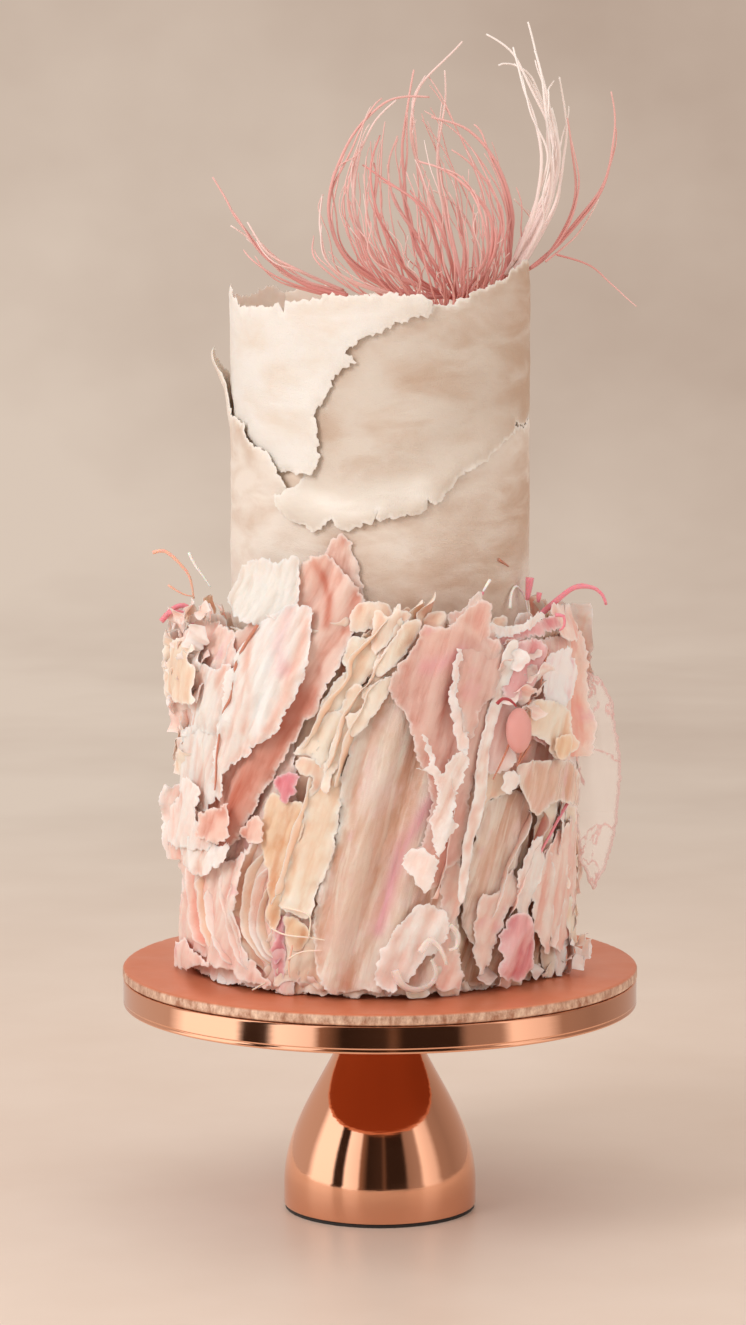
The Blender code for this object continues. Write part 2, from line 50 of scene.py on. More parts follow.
# The view: two metres in front of the cake, a little above its middle and looking slightly down.
# A long lens keeps the tiers upright.
VIEW_SIDE = -0.0035
VIEW_DISTANCE = 2.07
VIEW_HEIGHT = 0.5257
VIEW_TILT = 6.845
VIEW_LENS = 113.3
camera = bpy.data.objects.new("camera", bpy.data.cameras.new("camera"))
bpy.context.scene.collection.objects.link(camera)
camera.location = (VIEW_SIDE, -VIEW_DISTANCE, VIEW_HEIGHT)
camera.rotation_euler = (math.radians(90.0 - VIEW_TILT), 0.0, 0.0)
camera.data.lens = VIEW_LENS
bpy.context.scene.camera = camera
bpy.context.scene.view_settings.view_transform = "Standard"


# The studio: a pale sweep all round, soft daylight from the left front, and the windows and dark
# room that only the polished metal shows. Away from the cake the sweep glows, and seen straight on
# it carries painted shade, darker towards the right and towards the top.
SWEEP_FLAT = 2.4
SWEEP_CURVE = 0.8
SWEEP_HEIGHT = 3.4
BEND_STEPS = 8
SWEEP_STEPS = 96
SWEEP_BEIGE = (0.70, 0.575, 0.475, 1.0)
# The darker beige that the sweep's painted shade runs to, also the sky seen straight on
SWEEP_SHADE = (0.44, 0.325, 0.255, 1.0)
FLOOR_BEIGE = (0.84, 0.73, 0.64, 1.0)
FLOOR_SHADE = (0.79, 0.67, 0.575, 1.0)
ROOM_LIGHT = (0.66, 0.56, 0.495, 1.0)
CEILING_LIGHT = (0.80, 0.72, 0.65, 1.0)
# Bearing, brightness and warmth of what the polished metal sees round the room
ROOM_STOPS = ((-180, 0.66, 0.4), (-98, 0.60, 0.4), (-88, 1.50, 0.0), (-60, 1.50, 0.0), (-57, 0.04, 1.0),
              (-46, 0.04, 1.0), (-43, 1.45, 0.0), (-27, 1.15, 0.1), (-24, 0.30, 1.0), (-15, 0.03, 1.0),
              (2, 0.05, 1.0), (5, 0.16, 1.0), (9, 0.03, 1.0), (31, 0.03, 1.0), (35, 0.35, 0.6),
              (50, 0.42, 0.5), (55, 1.25, 0.1), (72, 0.95, 0.2), (80, 0.40, 0.6), (100, 0.34, 0.6),
              (180, 0.66, 0.4))
DAZZLE = Vector((1.0, 0.97, 0.93))
EMBER = Vector((1.0, 0.62, 0.42))


def feed(tree, node, feeds):
    """Feeds a node's inputs, each by a value or by another node's output."""
    for key, value in feeds.items():
        if isinstance(value, bpy.types.NodeSocket):
            tree.links.new(value, node.inputs[key])
        else:
            node.inputs[key].default_value = value


def put(tree, kind, settings, feeds):
    """Adds a shader node with its settings and its inputs fed."""
    node = tree.nodes.new(kind)
    for key, value in settings.items():
        setattr(node, key, value)
    feed(tree, node, feeds)
    return node


def maths(tree, operation, first, second=0.0):
    return put(tree, "ShaderNodeMath", {"operation": operation}, {0: first, 1: second}).outputs[0]


def blended(tree, share, low, high):
    """Colour between two colours or colour outputs."""
    node = put(tree, "ShaderNodeMix", {"data_type": "RGBA"}, {0: share, 6: low, 7: high})
    return node.outputs[2]


def spread(tree, value, low, high, to_low=0.0, to_high=1.0):
    """A value's range moved to another range and cut off at its ends."""
    node = put(tree, "ShaderNodeMapRange", {"clamp": True},
               {0: value, 1: low, 2: high, 3: to_low, 4: to_high})
    return node.outputs[0]


def clouds(tree, place, scale, detail=3.0, stretch=(1.0, 1.0, 1.0), roughness=0.5):
    """Soft noise, 0 to 1, at a scale in waves a metre or a millimetre, as its place is."""
    moved = put(tree, "ShaderNodeMapping", {}, {0: place, 3: stretch}).outputs[0]
    node = put(tree, "ShaderNodeTexNoise", {},
               {"Vector": moved, "Scale": scale, "Detail": detail, "Roughness": roughness})
    return node.outputs["Fac"]


def placed(name, mesh, material):
    """An object in the scene from a mesh, in its material."""
    mesh.materials.append(material)
    piece = bpy.data.objects.new(name, mesh)
    bpy.context.scene.collection.objects.link(piece)
    return piece


def turned(name, profile, steps, material, unit=MM):
    """A turned surface: the profile runs from the top at the axis down its outer side."""
    mesh = bpy.data.meshes.new(name)
    edges = [(i, i + 1) for i in range(len(profile) - 1)]
    mesh.from_pydata([(radius * unit, 0.0, height * unit) for radius, height in profile], edges, [])
    piece = placed(name, mesh, material)
    screw = piece.modifiers.new("turn", "SCREW")
    screw.steps = screw.render_steps = steps
    screw.use_merge_vertices = True
    screw.merge_threshold = 0.00001
    screw.use_smooth_shade = True
    return piece


def place_in(tree):
    """The place of the point that is shaded, in metres."""
    return put(tree, "ShaderNodeNewGeometry", {}, {}).outputs["Position"]


def parts_and_reach(tree, place):
    """A place's three parts and how far it is from the cake's axis."""
    parts = put(tree, "ShaderNodeSeparateXYZ", {}, {0: place}).outputs
    level = put(tree, "ShaderNodeCombineXYZ", {}, {0: parts[0], 1: parts[1]}).outputs[0]
    return parts, put(tree, "ShaderNodeVectorMath", {"operation": "LENGTH"}, {0: level}).outputs["Value"]


def room_seen_in_metal(tree, place):
    """The room round the cake by bearing, for mirror rays alone."""
    parts = put(tree, "ShaderNodeSeparateXYZ", {}, {0: place}).outputs
    bearing = maths(tree, "ARCTAN2", parts[0], maths(tree, "MULTIPLY", parts[1], -1.0))
    share = spread(tree, bearing, -math.pi, math.pi)
    ramp = put(tree, "ShaderNodeValToRGB", {}, {0: share})
    while len(ramp.color_ramp.elements) < len(ROOM_STOPS):
        ramp.color_ramp.elements.new(0.5)
    for stop, (turn, bright, warmth) in zip(ramp.color_ramp.elements, ROOM_STOPS):
        stop.position = (turn + 180.0) / 360.0
        tint = DAZZLE.lerp(EMBER, warmth) * bright
        stop.color = (*tint, 1.0)
    return ramp.outputs[0]


def paint_sweep():
    material = bpy.data.materials.new("sweep")
    material.use_nodes = True
    material.cycles.emission_sampling = "NONE"
    tree = material.node_tree
    geometry_seen = put(tree, "ShaderNodeNewGeometry", {}, {}).outputs
    place = geometry_seen["Position"]
    parts, away = parts_and_reach(tree, place)
    mottle = clouds(tree, place, 1.6, 4.0, (1.0, 1.0, 1.6))
    speckle = clouds(tree, place, 9.0, 5.0)
    # Painted shade, darker to the right and to the top; the mottle and speckle are the sweep's own
    side = spread(tree, parts[0], -0.5, 0.5)
    height = spread(tree, parts[2], 0.1, 0.8)
    shade = maths(tree, "ADD", maths(tree, "MULTIPLY", side, 0.50), maths(tree, "MULTIPLY", height, 0.38))
    shade = maths(tree, "ADD", shade, spread(tree, mottle, 0.35, 0.65, -0.16, 0.16))
    shade = maths(tree, "ADD", shade, spread(tree, speckle, 0.3, 0.7, -0.05, 0.05))
    beige = blended(tree, shade, SWEEP_BEIGE, SWEEP_SHADE)
    floor = blended(tree, spread(tree, speckle, 0.3, 0.7), FLOOR_BEIGE, FLOOR_SHADE)
    lit = tree.nodes["Principled BSDF"]
    feed(tree, lit, {"Base Color": floor, "Roughness": 0.38})
    ray = put(tree, "ShaderNodeLightPath", {}, {}).outputs
    far = spread(tree, away, 0.45, 1.3)
    glow = blended(tree, ray["Is Camera Ray"], ROOM_LIGHT, beige)
    glow = blended(tree, ray["Is Glossy Ray"], glow, room_seen_in_metal(tree, place))
    shine = put(tree, "ShaderNodeEmission", {}, {0: glow}).outputs[0]
    glossy_far = maths(tree, "MULTIPLY", ray["Is Glossy Ray"], spread(tree, away, 0.40, 0.48))
    share = maths(tree, "MAXIMUM", far, glossy_far)
    both = put(tree, "ShaderNodeMixShader", {}, {0: share, 1: lit.outputs[0], 2: shine}).outputs[0]
    # From outside, as in the side and back views, the near wall is clear
    outside = maths(tree, "MULTIPLY", geometry_seen["Backfacing"], ray["Is Camera Ray"])
    clear_wall = put(tree, "ShaderNodeBsdfTransparent", {}, {}).outputs[0]
    wall = put(tree, "ShaderNodeMixShader", {}, {0: outside, 1: both, 2: clear_wall}).outputs[0]
    tree.links.new(wall, tree.nodes["Material Output"].inputs[0])
    return material


bend_turns = [k * math.pi / (2 * BEND_STEPS) for k in range(BEND_STEPS + 1)]
bend = [(SWEEP_FLAT + SWEEP_CURVE * math.sin(t), SWEEP_CURVE * (1 - math.cos(t))) for t in bend_turns]
sweep_profile = [(0.0, 0.0), (0.4, 0.0), (1.2, 0.0), *bend, (SWEEP_FLAT + SWEEP_CURVE, SWEEP_HEIGHT)]
sweep = turned("sweep", sweep_profile, SWEEP_STEPS, paint_sweep(), 1.0)
sweep.visible_shadow = False

world = bpy.data.worlds.new("room")
world.use_nodes = True
bpy.context.scene.world = world
sky = world.node_tree
overhead = put(sky, "ShaderNodeTexCoord", {}, {}).outputs["Generated"]
rays = put(sky, "ShaderNodeLightPath", {}, {}).outputs
ceiling = blended(sky, rays["Is Camera Ray"], CEILING_LIGHT, SWEEP_SHADE)
seen = room_seen_in_metal(sky, overhead)
ceiling = blended(sky, maths(sky, "MULTIPLY", rays["Is Glossy Ray"], 0.7), ceiling, seen)
sky.links.new(ceiling, sky.nodes["Background"].inputs[0])

for name, spot, size, power, tint in (
    ("daylight", (-1.45, -1.35, 1.45), 1.0, 24.5, (1.0, 0.98, 0.975)),
    ("right fill", (1.7, -1.3, 0.8), 1.4, 7.0, (1.0, 0.94, 0.90)),
):
    light = bpy.data.objects.new(name, bpy.data.lights.new(name, "AREA"))
    bpy.context.scene.collection.objects.link(light)
    light.location = spot
    light.rotation_euler = (Vector((0.0, 0.0, 0.30)) - Vector(spot)).to_track_quat("-Z", "Y").to_euler()
    light.data.size = size
    light.data.energy = power
    light.data.color = tint
    light.visible_glossy = False


# The stand: a thin rubber pad, a spun bell foot and a flat plate with a turned-down band, all of
# mirror-polished copper. The pad keeps its solid.
STAND_HEIGHT = 118.7
PLATE_RADIUS = 129.2
PLATE_BAND = 13.2
FOOT_RADIUS = 48.6
NECK_RADIUS = 12.5
REST_GAP = 0.3
# How the bell's side is drawn out, from its neck to where its foot stands upright
BELL_PULLS = ((21.5, 71.0), (FOOT_RADIUS, 48.0))
BELL_FOOT = 12.0
# Where the plate's hollow underside lies, between the neck and the band. It is painted dark
# red-brown there as painted shade, which the bell's mirror shows as a deep glow.
HOLLOW_REACH = 0.1245
HOLLOW_LOWEST = 0.1060


def finish(name, colour, roughness, metallic=0.0):
    """A Principled material, its node tree and its shader."""
    material = bpy.data.materials.new(name)
    material.use_nodes = True
    shader = material.node_tree.nodes["Principled BSDF"]
    shader.inputs["Base Color"].default_value = (*colour, 1.0)
    shader.inputs["Roughness"].default_value = roughness
    shader.inputs["Metallic"].default_value = metallic
    return material, material.node_tree, shader


def bumped(tree, shader, height, distance, strength=1.0):
    bump = put(tree, "ShaderNodeBump", {}, {"Height": height, "Distance": distance, "Strength": strength})
    tree.links.new(bump.outputs[0], shader.inputs["Normal"])


def dress(piece, slot, *nodes):
    """The piece rides on the cake and stands for these solids, which are hidden. The slot is not used."""
    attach(piece, "root")
    if nodes:
        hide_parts(*nodes)
    return piece


def bezier(a, b, c, d, steps):
    points = []
    for i in range(steps + 1):
        t = i / steps
        u = 1 - t
        weights = (u * u * u, 3 * u * u * t, 3 * u * t * t, t * t * t)
        points.append(tuple(sum(w * p[k] for w, p in zip(weights, (a, b, c, d))) for k in (0, 1)))
    return points


rubber, tree, shader = finish("rubber pad", (0.02, 0.018, 0.017), 0.6)
place = place_in(tree)
bumped(tree, shader, clouds(tree, place, 900.0), 0.0002)
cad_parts["foot_pad"].data.materials[0] = rubber

polish, tree, shader = finish("polished copper", (0.88, 0.47, 0.31), 0.07, 1.0)
place = place_in(tree)
haze = clouds(tree, place, 22.0, 4.0)
tree.links.new(spread(tree, haze, 0.35, 0.7, 0.045, 0.12), shader.inputs["Roughness"])
drift = spread(tree, clouds(tree, place, 9.0), 0.3, 0.7)
tone = blended(tree, drift, (0.90, 0.49, 0.33, 1), (0.86, 0.44, 0.28, 1))
parts, away = parts_and_reach(tree, place)
# Painted shade: the plate's hollow underside is coloured dark red-brown
underside_painted_shade = maths(tree, "MULTIPLY", spread(tree, away, NECK_RADIUS * MM, NECK_RADIUS * MM + 0.0001),
                  spread(tree, away, HOLLOW_REACH, HOLLOW_REACH - 0.0001))
above = spread(tree, parts[2], HOLLOW_LOWEST, HOLLOW_LOWEST + 0.0002)
underside_painted_shade = maths(tree, "MULTIPLY", underside_painted_shade, above)
tree.links.new(blended(tree, underside_painted_shade, tone, (0.40, 0.11, 0.04, 1)), shader.inputs["Base Color"])
bumped(tree, shader, clouds(tree, place, 60.0, 2.0, (1, 1, 6)), 0.00004, 0.6)

foot_low = 1.8
foot_top = STAND_HEIGHT - PLATE_BAND + 1.2 - REST_GAP
bell = bezier((NECK_RADIUS, foot_top), *BELL_PULLS, (FOOT_RADIUS, BELL_FOOT), 48)
foot_profile = [(0.0, foot_top), *bell, (FOOT_RADIUS, 2.4), (FOOT_RADIUS - 0.15, 2.0),
                (FOOT_RADIUS - 0.5, foot_low), (0.0, foot_low)]
dress(turned("copper_foot", foot_profile, 144, polish), "polished_copper", "foot")

under = STAND_HEIGHT - PLATE_BAND
band_lip = [(PLATE_RADIUS - 0.6 * (1 - math.cos(t)), under + 0.6 - 0.6 * math.sin(t))
            for t in (0.0, 0.4, 0.8, 1.2, math.pi / 2)]
plate_profile = [(0.0, STAND_HEIGHT), (PLATE_RADIUS - 1.0, STAND_HEIGHT),
                 (PLATE_RADIUS - 0.35, STAND_HEIGHT - 0.1), (PLATE_RADIUS - 0.1, STAND_HEIGHT - 0.4),
                 (PLATE_RADIUS, STAND_HEIGHT - 0.8), (PLATE_RADIUS, STAND_HEIGHT - 1.0),
                 (PLATE_RADIUS, under + 2.8), (PLATE_RADIUS, under + 2.6),
                 (PLATE_RADIUS - 0.2, under + 2.3), (PLATE_RADIUS - 0.2, under + 1.8),
                 (PLATE_RADIUS, under + 1.5), (PLATE_RADIUS, under + 1.4), *band_lip,
                 (PLATE_RADIUS - 4.0, under), (PLATE_RADIUS - 4.8, under + 1.2), (0.0, under + 1.2)]
dress(turned("copper_plate", plate_profile, 256, polish), "polished_copper", "plate")


# The cake board: a stiff round card wrapped in copper foil, satin on top and crinkled where the
# foil is folded down round the edge.
BOARD_RADIUS = 129.5
BOARD_TOP = 124.7
BOARD_THICKNESS = 5.7
BOARD_STEPS = 420


def ring_faces(rows, sides):
    """Quads between rings of points, each ring closed on itself."""
    faces = []
    for i in range(rows):
        for k in range(sides):
            a, b = i * sides + k, i * sides + (k + 1) % sides
            faces.append((a, b, b + sides, a + sides))
    return faces


foil, tree, shader = finish("copper foil", (0.80, 0.40, 0.29), 0.34, 0.4)
place = place_in(tree)
parts = put(tree, "ShaderNodeSeparateXYZ", {}, {0: place}).outputs
on_top = spread(tree, parts[2], (BOARD_TOP - 1.2) * MM, (BOARD_TOP - 0.3) * MM)
patches = clouds(tree, place, 14.0, 4.0)
top_tone = blended(tree, spread(tree, patches, 0.3, 0.7), (0.80, 0.28, 0.15, 1), (0.69, 0.21, 0.10, 1))
crinkled = clouds(tree, place, 260.0, 6.0, (1, 1, 0.5), 0.7)
# Painted highlights and painted shade: the folded foil is pale gold-pink on its crinkles, dark between
crinkle_glints_and_shade = blended(tree, spread(tree, crinkled, 0.35, 0.65), (0.97, 0.72, 0.55, 1), (0.45, 0.20, 0.12, 1))
tree.links.new(blended(tree, on_top, crinkle_glints_and_shade, top_tone), shader.inputs["Base Color"])
satin = spread(tree, clouds(tree, place, 35.0, 5.0), 0.3, 0.7, 0.34, 0.46)
tree.links.new(satin, shader.inputs["Roughness"])
brushed = maths(tree, "MULTIPLY", clouds(tree, place, 300.0, 3.0), 0.15)
bumped(tree, shader, blended(tree, on_top, crinkled, brushed), 0.0008, 0.8)

board_profile = [(0.0, BOARD_TOP), (60.0, BOARD_TOP), (115.0, BOARD_TOP), (BOARD_RADIUS - 2.0, BOARD_TOP),
                 (BOARD_RADIUS - 1.0, BOARD_TOP - 0.12), (BOARD_RADIUS - 0.35, BOARD_TOP - 0.55)]
board_profile += [(BOARD_RADIUS, BOARD_TOP - 1.2 - i * 0.66) for i in range(6)]
board_profile += [(BOARD_RADIUS - 0.5, BOARD_TOP - 5.2), (BOARD_RADIUS - 1.4, BOARD_TOP - BOARD_THICKNESS),
                  (0.0, BOARD_TOP - BOARD_THICKNESS)]
verts = []
for radius, height in board_profile:
    for k in range(BOARD_STEPS):
        turn = math.tau * k / BOARD_STEPS
        fold = noise.noise(Vector((radius * math.cos(turn), radius * math.sin(turn), height * 1.7)) * 0.55)
        dent = min(0.0, 0.5 * fold) if radius > BOARD_RADIUS - 2.5 else 0.0
        verts.append(((radius + dent) * math.cos(turn) * MM, (radius + dent) * math.sin(turn) * MM,
                      (height + 0.4 * dent) * MM))
mesh = bpy.data.meshes.new("foil_board")
mesh.from_pydata(verts, [], [(b, a, d, c) for a, b, c, d in ring_faces(len(board_profile) - 1, BOARD_STEPS)])
mesh.shade_smooth()
dress(placed("foil_board", mesh, foil), "copper_foil", "board")


# The two tiers: round sponge cakes under a smooth coat of cream icing, which only shows between
# the sheets and inside the collar. They keep their solids.
CAKE_BASE = 125.0
LOWER_RADIUS = 82.0
PASTE_RADIUS = 73.0

icing, tree, shader = finish("cream icing", (0.90, 0.80, 0.69), 0.6)
place = place_in(tree)
smears = clouds(tree, place, 30.0, 4.0, (1, 1, 3))
tree.links.new(blended(tree, spread(tree, smears, 0.3, 0.7), (0.91, 0.80, 0.69, 1), (0.84, 0.68, 0.55, 1)),
               shader.inputs["Base Color"])
bumped(tree, shader, smears, 0.001, 0.5)
for node in ("lower_tier", "upper_tier"):
    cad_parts[node].data.materials[0] = icing


# The paste sheets: sugar paste rolled thin, torn by hand and wrapped round the upper tier. Their
# torn rims curl and are pale, partly from drying and partly as painted light, and tea-coloured stain
# streaks run along them. Painted shade and painted light are laid on where sheets overlap and bulge.
TEAR_SIZES = ((0.11, 1.1, 0.0), (0.33, 1.0, 11.0), (0.9, 0.8, 23.0))
OUTLINE_STEP = 0.8
ROW_PITCH = 0.87
# Over how many millimetres from its rim a sheet reaches its full thickness, and in how many levels
BODY_REACH = 2.4
BODY_LEVELS = 12
PASTE_THICKNESS = 1.3
PASTE_TEAR = 1.6
PASTE_GRAIN = 2.0
PALE_RIM_AND_LIGHT = (0.95, 0.90, 0.83, 1.0)
# Kinds of mark: deep darkens, mostly as painted shade; pale lightens, mostly as painted light; rose is colour
SHADE_LIGHT_AND_STAIN_KINDS = ("deep", "pale", "rose")


def around(bearing, radius, height):
    """The point at a bearing in degrees, with its radius and height in millimetres."""
    angle = math.radians(bearing)
    return Vector((radius * math.sin(angle), -radius * math.cos(angle), height)) * MM


def girth(bearing, radius):
    """Millimetres round the tier from the front to a bearing."""
    return math.radians(bearing) * radius


def flat(points, radius):
    return [Vector((girth(bearing, radius), height)) for bearing, height in points]


def catmull_rom(before, start, end, after, t):
    return 0.5 * (2 * start + (end - before) * t + (2 * before - 5 * start + 4 * end - after) * t * t
                  + (3 * start - before - 3 * end + after) * t * t * t)


def torn(point, tear):
    """Moves a point of an outline by fields of noise, from long tears to small frays."""
    shift = Vector((0.0, 0.0))
    for scale, size, layer in TEAR_SIZES:
        x, y = point.x * scale, point.y * scale
        shift += size * Vector((noise.noise(Vector((x, y, 3.7 + layer))),
                                noise.noise(Vector((x, y, 47.3 + layer)))))
    return point + tear * shift


def outline_points(corners, step, tear, notches=()):
    """A closed smooth curve through the corners in even steps, torn and nicked by the notches."""
    points = []
    count = len(corners)
    for i, start in enumerate(corners):
        before, end, after = corners[i - 1], corners[(i + 1) % count], corners[(i + 2) % count]
        pieces = max(1, round((end - start).length / step))
        for k in range(pieces):
            points.append(torn(catmull_rom(before, start, end, after, k / pieces), tear))
    for mouth, tip, half_width in notches:
        for i, point in enumerate(points):
            near = (point - mouth).length
            if near < half_width:
                points[i] = point + (tip - mouth) * (1 - near / half_width) ** 1.3
    return points


def filled(outline, step):
    """Triangles that fill a flat outline, and each point's distance to the outline."""
    tree_of_rim = kdtree.KDTree(len(outline))
    for i, point in enumerate(outline):
        tree_of_rim.insert((point.x, point.y, 0.0), i)
    tree_of_rim.balance()
    low_x, high_x = min(p.x for p in outline), max(p.x for p in outline)
    low_y, high_y = min(p.y for p in outline), max(p.y for p in outline)
    inner = []
    for row in range(int((high_y - low_y) / (step * ROW_PITCH)) + 1):
        for column in range(int((high_x - low_x) / step) + 1):
            spot = Vector((low_x + (column + 0.5 * (row % 2)) * step, low_y + row * step * ROW_PITCH))
            if tree_of_rim.find((spot.x, spot.y, 0.0))[2] > 0.5 * step:
                inner.append(spot)
    count = len(outline)
    edges = [(i, (i + 1) % count) for i in range(count)]
    points, _, faces, _, _, _ = geometry.delaunay_2d_cdt(outline + inner, edges, [], 1, 0.0001)
    used = sorted({i for face in faces for i in face})
    place = {old: new for new, old in enumerate(used)}
    points = [points[i] for i in used]
    faces = [[place[i] for i in face] for face in faces]
    depth = [tree_of_rim.find((p.x, p.y, 0.0))[2] for p in points]
    return points, faces, depth


def shell(name, verts, faces, depth, crest, laid, thickness, material, thin, rim_reach=0.8):
    """A sheet from its open surface, thinned towards its torn rim. It carries how near each point
    is to the rim, how high it stands on its fold and where it lay on the flat sheet."""
    depth = np.array(depth, np.float32)
    mesh = bpy.data.meshes.new(name)
    mesh.from_pydata([tuple(v) for v in verts], [], faces)
    mesh.attributes.new("rim", "FLOAT", "POINT").data.foreach_set("value", np.exp(-depth / rim_reach))
    # The crest steers painted shade, deep where low, and painted highlights, pale where high
    mesh.attributes.new("crest", "FLOAT", "POINT").data.foreach_set("value", np.array(crest, np.float32))
    sheet = np.array([(p[0], p[1], 0.0) for p in laid], np.float32)
    mesh.attributes.new("sheet", "FLOAT_VECTOR", "POINT").data.foreach_set("vector", sheet.ravel())
    mesh.shade_smooth()
    piece = placed(name, mesh, material)
    body = piece.vertex_groups.new(name="body")
    grade = np.rint((1.0 - np.exp(-depth / BODY_REACH)) * BODY_LEVELS).astype(int)
    for level in range(BODY_LEVELS + 1):
        members = np.flatnonzero(grade == level).tolist()
        if members:
            body.add(members, level / BODY_LEVELS, "REPLACE")
    solid = piece.modifiers.new("thickness", "SOLIDIFY")
    solid.thickness = thickness * MM
    solid.offset = 1.0
    solid.vertex_group = "body"
    solid.thickness_vertex_group = thin
    crisp = piece.modifiers.new("normals", "WEIGHTED_NORMAL")
    crisp.mode = "FACE_AREA"
    crisp.weight = 80
    return piece


def distance_to_line(point, line):
    best = 1e9
    for start, end in zip(line, line[1:]):
        run = end - start
        share = max(0.0, min(1.0, (point - start).dot(run) / run.length_squared))
        best = min(best, (point - start - share * run).length)
    return best


def lifted(lines, radius):
    """A rule for how far an edge lifts: near each line by its height, fading over its reach."""
    laid = [(flat(line, radius), height, reach) for line, height, reach in lines]

    def lift(point):
        return sum(height * math.exp(-(distance_to_line(point, line) / reach) ** 2)
                   for line, height, reach in laid)
    return lift


def field(x, y, layer=0.0):
    return noise.noise(Vector((x, y, layer)))


def ridged(x, y, layer=0.0):
    """Noise with creases: 1 on a sharp ridge and down to about -1 between ridges."""
    return 1.0 - 2.6 * abs(noise.noise(Vector((x, y, layer))))


def build_sheet_group():
    """Node group that reads what each sheet carries and gives the masks its finish needs."""
    group = bpy.data.node_groups.new("sheet masks", "ShaderNodeTree")
    for name in ("Rim", "Crest", "Streak", "Blotch", "Grain", "Crumple", "Deep", "Pale", "Rose"):
        group.interface.new_socket(name, in_out="OUTPUT", socket_type="NodeSocketFloat")
    for name, value in (("Streak Scale", 0.08), ("Streak Stretch", 0.12), ("Blotch Scale", 0.035)):
        socket = group.interface.new_socket(name, in_out="INPUT", socket_type="NodeSocketFloat")
        socket.default_value = value
    given = group.nodes.new("NodeGroupInput").outputs
    out = group.nodes.new("NodeGroupOutput")
    rim = put(group, "ShaderNodeAttribute", {"attribute_name": "rim"}, {}).outputs["Fac"]
    crest = put(group, "ShaderNodeAttribute", {"attribute_name": "crest"}, {}).outputs["Fac"]
    sheet = put(group, "ShaderNodeAttribute", {"attribute_name": "sheet"}, {}).outputs["Vector"]
    stretch = put(group, "ShaderNodeCombineXYZ", {}, {0: 1.0, 1: given["Streak Stretch"], 2: 1.0}).outputs[0]
    drawn = put(group, "ShaderNodeVectorMath", {"operation": "MULTIPLY"}, {0: sheet, 1: stretch}).outputs[0]
    streak = put(group, "ShaderNodeTexNoise", {}, {"Vector": drawn, "Scale": given["Streak Scale"],
                                                    "Detail": 5.0, "Roughness": 0.55, "Distortion": 0.4})
    blotch = put(group, "ShaderNodeTexNoise", {}, {"Vector": sheet, "Scale": given["Blotch Scale"],
                                                    "Detail": 4.0, "Roughness": 0.6})
    grain = put(group, "ShaderNodeTexNoise", {}, {"Vector": sheet, "Scale": 1.3, "Detail": 4.0,
                                                   "Roughness": 0.65})
    bent = put(group, "ShaderNodeVectorMath", {"operation": "MULTIPLY_ADD"},
               {0: grain.outputs["Color"], 1: (1.5, 1.5, 0.0), 2: sheet}).outputs[0]
    slanted = put(group, "ShaderNodeVectorMath", {"operation": "MULTIPLY"},
                  {0: bent, 1: (1.0, 0.45, 1.0)}).outputs[0]
    wide = put(group, "ShaderNodeTexVoronoi", {}, {"Vector": slanted, "Scale": 0.17}).outputs["Distance"]
    small = put(group, "ShaderNodeTexVoronoi", {}, {"Vector": slanted, "Scale": 0.48}).outputs["Distance"]
    crumple = maths(group, "ADD", wide, maths(group, "MULTIPLY", small, 0.45))
    # The stain attribute carries the marks: deep mostly painted shade, pale mostly painted light, rose colour
    stain = put(group, "ShaderNodeAttribute", {"attribute_name": "stain"}, {}).outputs["Vector"]
    stained = put(group, "ShaderNodeSeparateXYZ", {}, {0: stain}).outputs
    ragged = spread(group, streak.outputs["Fac"], 0.3, 0.6, 0.3, 1.1)
    feed(group, out, {"Rim": rim, "Crest": crest, "Streak": streak.outputs["Fac"],
                      "Blotch": blotch.outputs["Fac"], "Grain": grain.outputs["Fac"], "Crumple": crumple})
    for i, kind in enumerate(SHADE_LIGHT_AND_STAIN_KINDS):
        feed(group, out, {kind.title(): maths(group, "MULTIPLY", stained[i], ragged)})
    return group


sheet_masks = build_sheet_group()


def paste_finish(name, cream, stain):
    """Matt rolled paste: cloudy, long tea-coloured stain streaks round it, a pale rim, painted shade and
    light.
    """
    material, tree, shader = finish(name, cream, 0.62)
    masks = put(tree, "ShaderNodeGroup", {"node_tree": sheet_masks},
                {"Streak Scale": 0.026, "Streak Stretch": 2.6, "Blotch Scale": 0.028}).outputs
    stained = maths(tree, "MULTIPLY", spread(tree, masks["Streak"], 0.42, 0.66),
                    spread(tree, masks["Blotch"], 0.38, 0.62))
    body = blended(tree, stained, (*cream, 1.0), (*stain, 1.0))
    mist = spread(tree, masks["Blotch"], 0.45, 0.7, 0.0, 0.5)
    body = blended(tree, mist, body, (*[min(1.0, 1.05 * c) for c in cream], 1.0))
    speck = spread(tree, masks["Grain"], 0.62, 0.72, 0.0, 0.18)
    body = blended(tree, speck, body, (*stain, 1.0))
    # Painted shade where the deep marks darken it and painted light where the pale marks lighten it
    body = blended(tree, masks["Deep"], body, (*stain, 1.0))
    body = blended(tree, masks["Pale"], body, PALE_RIM_AND_LIGHT)
    # The pale rim: partly the dried edge's own colour, partly painted light
    feed(tree, shader, {"Base Color": blended(tree, masks["Rim"], body, PALE_RIM_AND_LIGHT),
                        "Roughness": spread(tree, masks["Blotch"], 0.3, 0.7, 0.55, 0.72),
                        "Subsurface Weight": 0.12, "Subsurface Radius": (1.0, 0.55, 0.35),
                        "Subsurface Scale": 0.004})
    height = maths(tree, "ADD", masks["Grain"], maths(tree, "MULTIPLY", masks["Crumple"], 0.25))
    bumped(tree, shader, height, 0.0008, 0.6)
    return material


